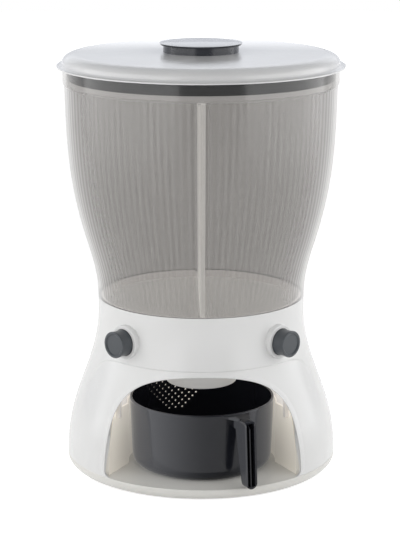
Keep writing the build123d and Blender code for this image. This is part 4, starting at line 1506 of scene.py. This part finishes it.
@dataclass
class Studio:
    """Floor, light and camera, in metres and degrees."""

    camera_azimuth: float = -1.0
    camera_distance: float = 1.9292
    camera_height: float = 0.6725
    camera_pitch: float = 13.407
    camera_lens: float = 124.87
    camera_sensor: float = 36.0
    shift_right: float = -0.0019
    floor_radius: float = 5.0
    floor_segments: int = 64
    floor_colour: Colour = (0.80, 0.80, 0.80)
    floor_glow: float = 0.66
    floor_far_glow: float = 0.4
    floor_far: Point = (0.8, 4.0)
    fill: float = 0.25
    backdrop: float = 1.0
    behind: Point = (-0.1, 0.35)
    mirrored_tone: Colour = (0.90, 0.93, 1.0)
    softboxes: tuple[Softbox, ...] = (
        Softbox("softbox_left", -107.0, -18.0, 1.3, 0.02, 1.25, 1.75),
        Softbox("softbox_right", 34.0, 116.0, 1.3, 0.02, 1.25, 1.75),
        Softbox("softbox_back", 150.0, 210.0, 2.2, 0.75, 1.7, 0.6, (0.96, 0.98, 1.0)),
    )

    def build(self) -> None:
        """Set up floor, world, lamps and camera."""
        self._lay_floor()
        self._light_world()
        for softbox in self.softboxes:
            softbox.build()
        self._place_camera()
        bpy.context.scene.view_settings.view_transform = "Standard"

    @staticmethod
    def _rays(graph: Graph) -> tuple[Signal, Signal]:
        """Masks of the rays that show the studio itself.

        Args:
            graph: Graph of the floor or world.

        Returns:
            Rays that come from the camera or through clear plastic, and reflected rays.
        """
        camera, through, glossy = (
            graph.node("ShaderNodeLightPath", output=f"Is {kind} Ray")
            for kind in ("Camera", "Transmission", "Glossy")
        )
        return graph.maths("MAXIMUM", camera, through), glossy

    def _lay_floor(self) -> None:
        """Round pale floor that takes the object's shadow."""
        bm = bmesh.new()
        bmesh.ops.create_circle(
            bm, cap_ends=True, radius=self.floor_radius, segments=self.floor_segments
        )
        data = bpy.data.meshes.new("studio_floor")
        bm.to_mesh(data)
        bm.free()
        floor = linked("studio_floor", data)
        material, graph = material_graph("studio_paper")
        matt = graph.node("ShaderNodeBsdfDiffuse", {"Color": self.floor_colour})
        x, y, _ = graph.axes(graph.place())
        far = distance(x, y).between(*self.floor_far) * self.floor_far_glow + self.floor_glow
        seen = graph.maths("MAXIMUM", *self._rays(graph))
        glow = graph.node("ShaderNodeEmission", {"Strength": seen * far})
        graph.show(graph.node("ShaderNodeAddShader", {0: matt, 1: glow}))
        data.materials.append(material)

    def _light_world(self) -> None:
        """White backdrop behind the object, and a dim room in front of it."""
        world = bpy.data.worlds.new("studio_world")
        bpy.context.scene.world = world
        world.use_nodes = True
        graph = Graph(world.node_tree)
        _, back, _ = graph.axes(graph.node("ShaderNodeTexCoord", output="Generated"))
        direct, glossy = self._rays(graph)
        seen = graph.maths("MAXIMUM", direct, glossy * back.between(*self.behind))
        strength = self.fill + seen * (self.backdrop - self.fill)
        tone = graph.mix(glossy * (1.0 - direct), WHITE, self.mirrored_tone)
        background = graph.node("ShaderNodeBackground", {"Color": tone, "Strength": strength})
        graph.show(background, "ShaderNodeOutputWorld")

    def _place_camera(self) -> None:
        """Camera at the photograph's angle."""
        data = bpy.data.cameras.new("studio_camera")
        data.sensor_width = self.camera_sensor
        data.lens = self.camera_lens
        data.shift_x = self.shift_right
        camera = linked("studio_camera", data)
        turn = math.radians(self.camera_azimuth)
        camera.location = around(self.camera_distance, turn, self.camera_height)
        camera.rotation_euler = (math.radians(90.0 - self.camera_pitch), 0.0, turn)
        bpy.context.scene.camera = camera


def main() -> None:
    """Build the studio and every sub-assembly in order."""
    logging.basicConfig(level=logging.INFO, format="%(name)s: %(message)s")
    Studio().build()
    wardrobe = Wardrobe()
    for kind in (Base, Bay, Gates, Bin, Lid, Bowl):
        assembly = kind(wardrobe)
        assembly.build()
        for name in assembly.names:
            LOG.info("%s: %s", kind.__name__, name)


if __name__ == "__main__":
    main()
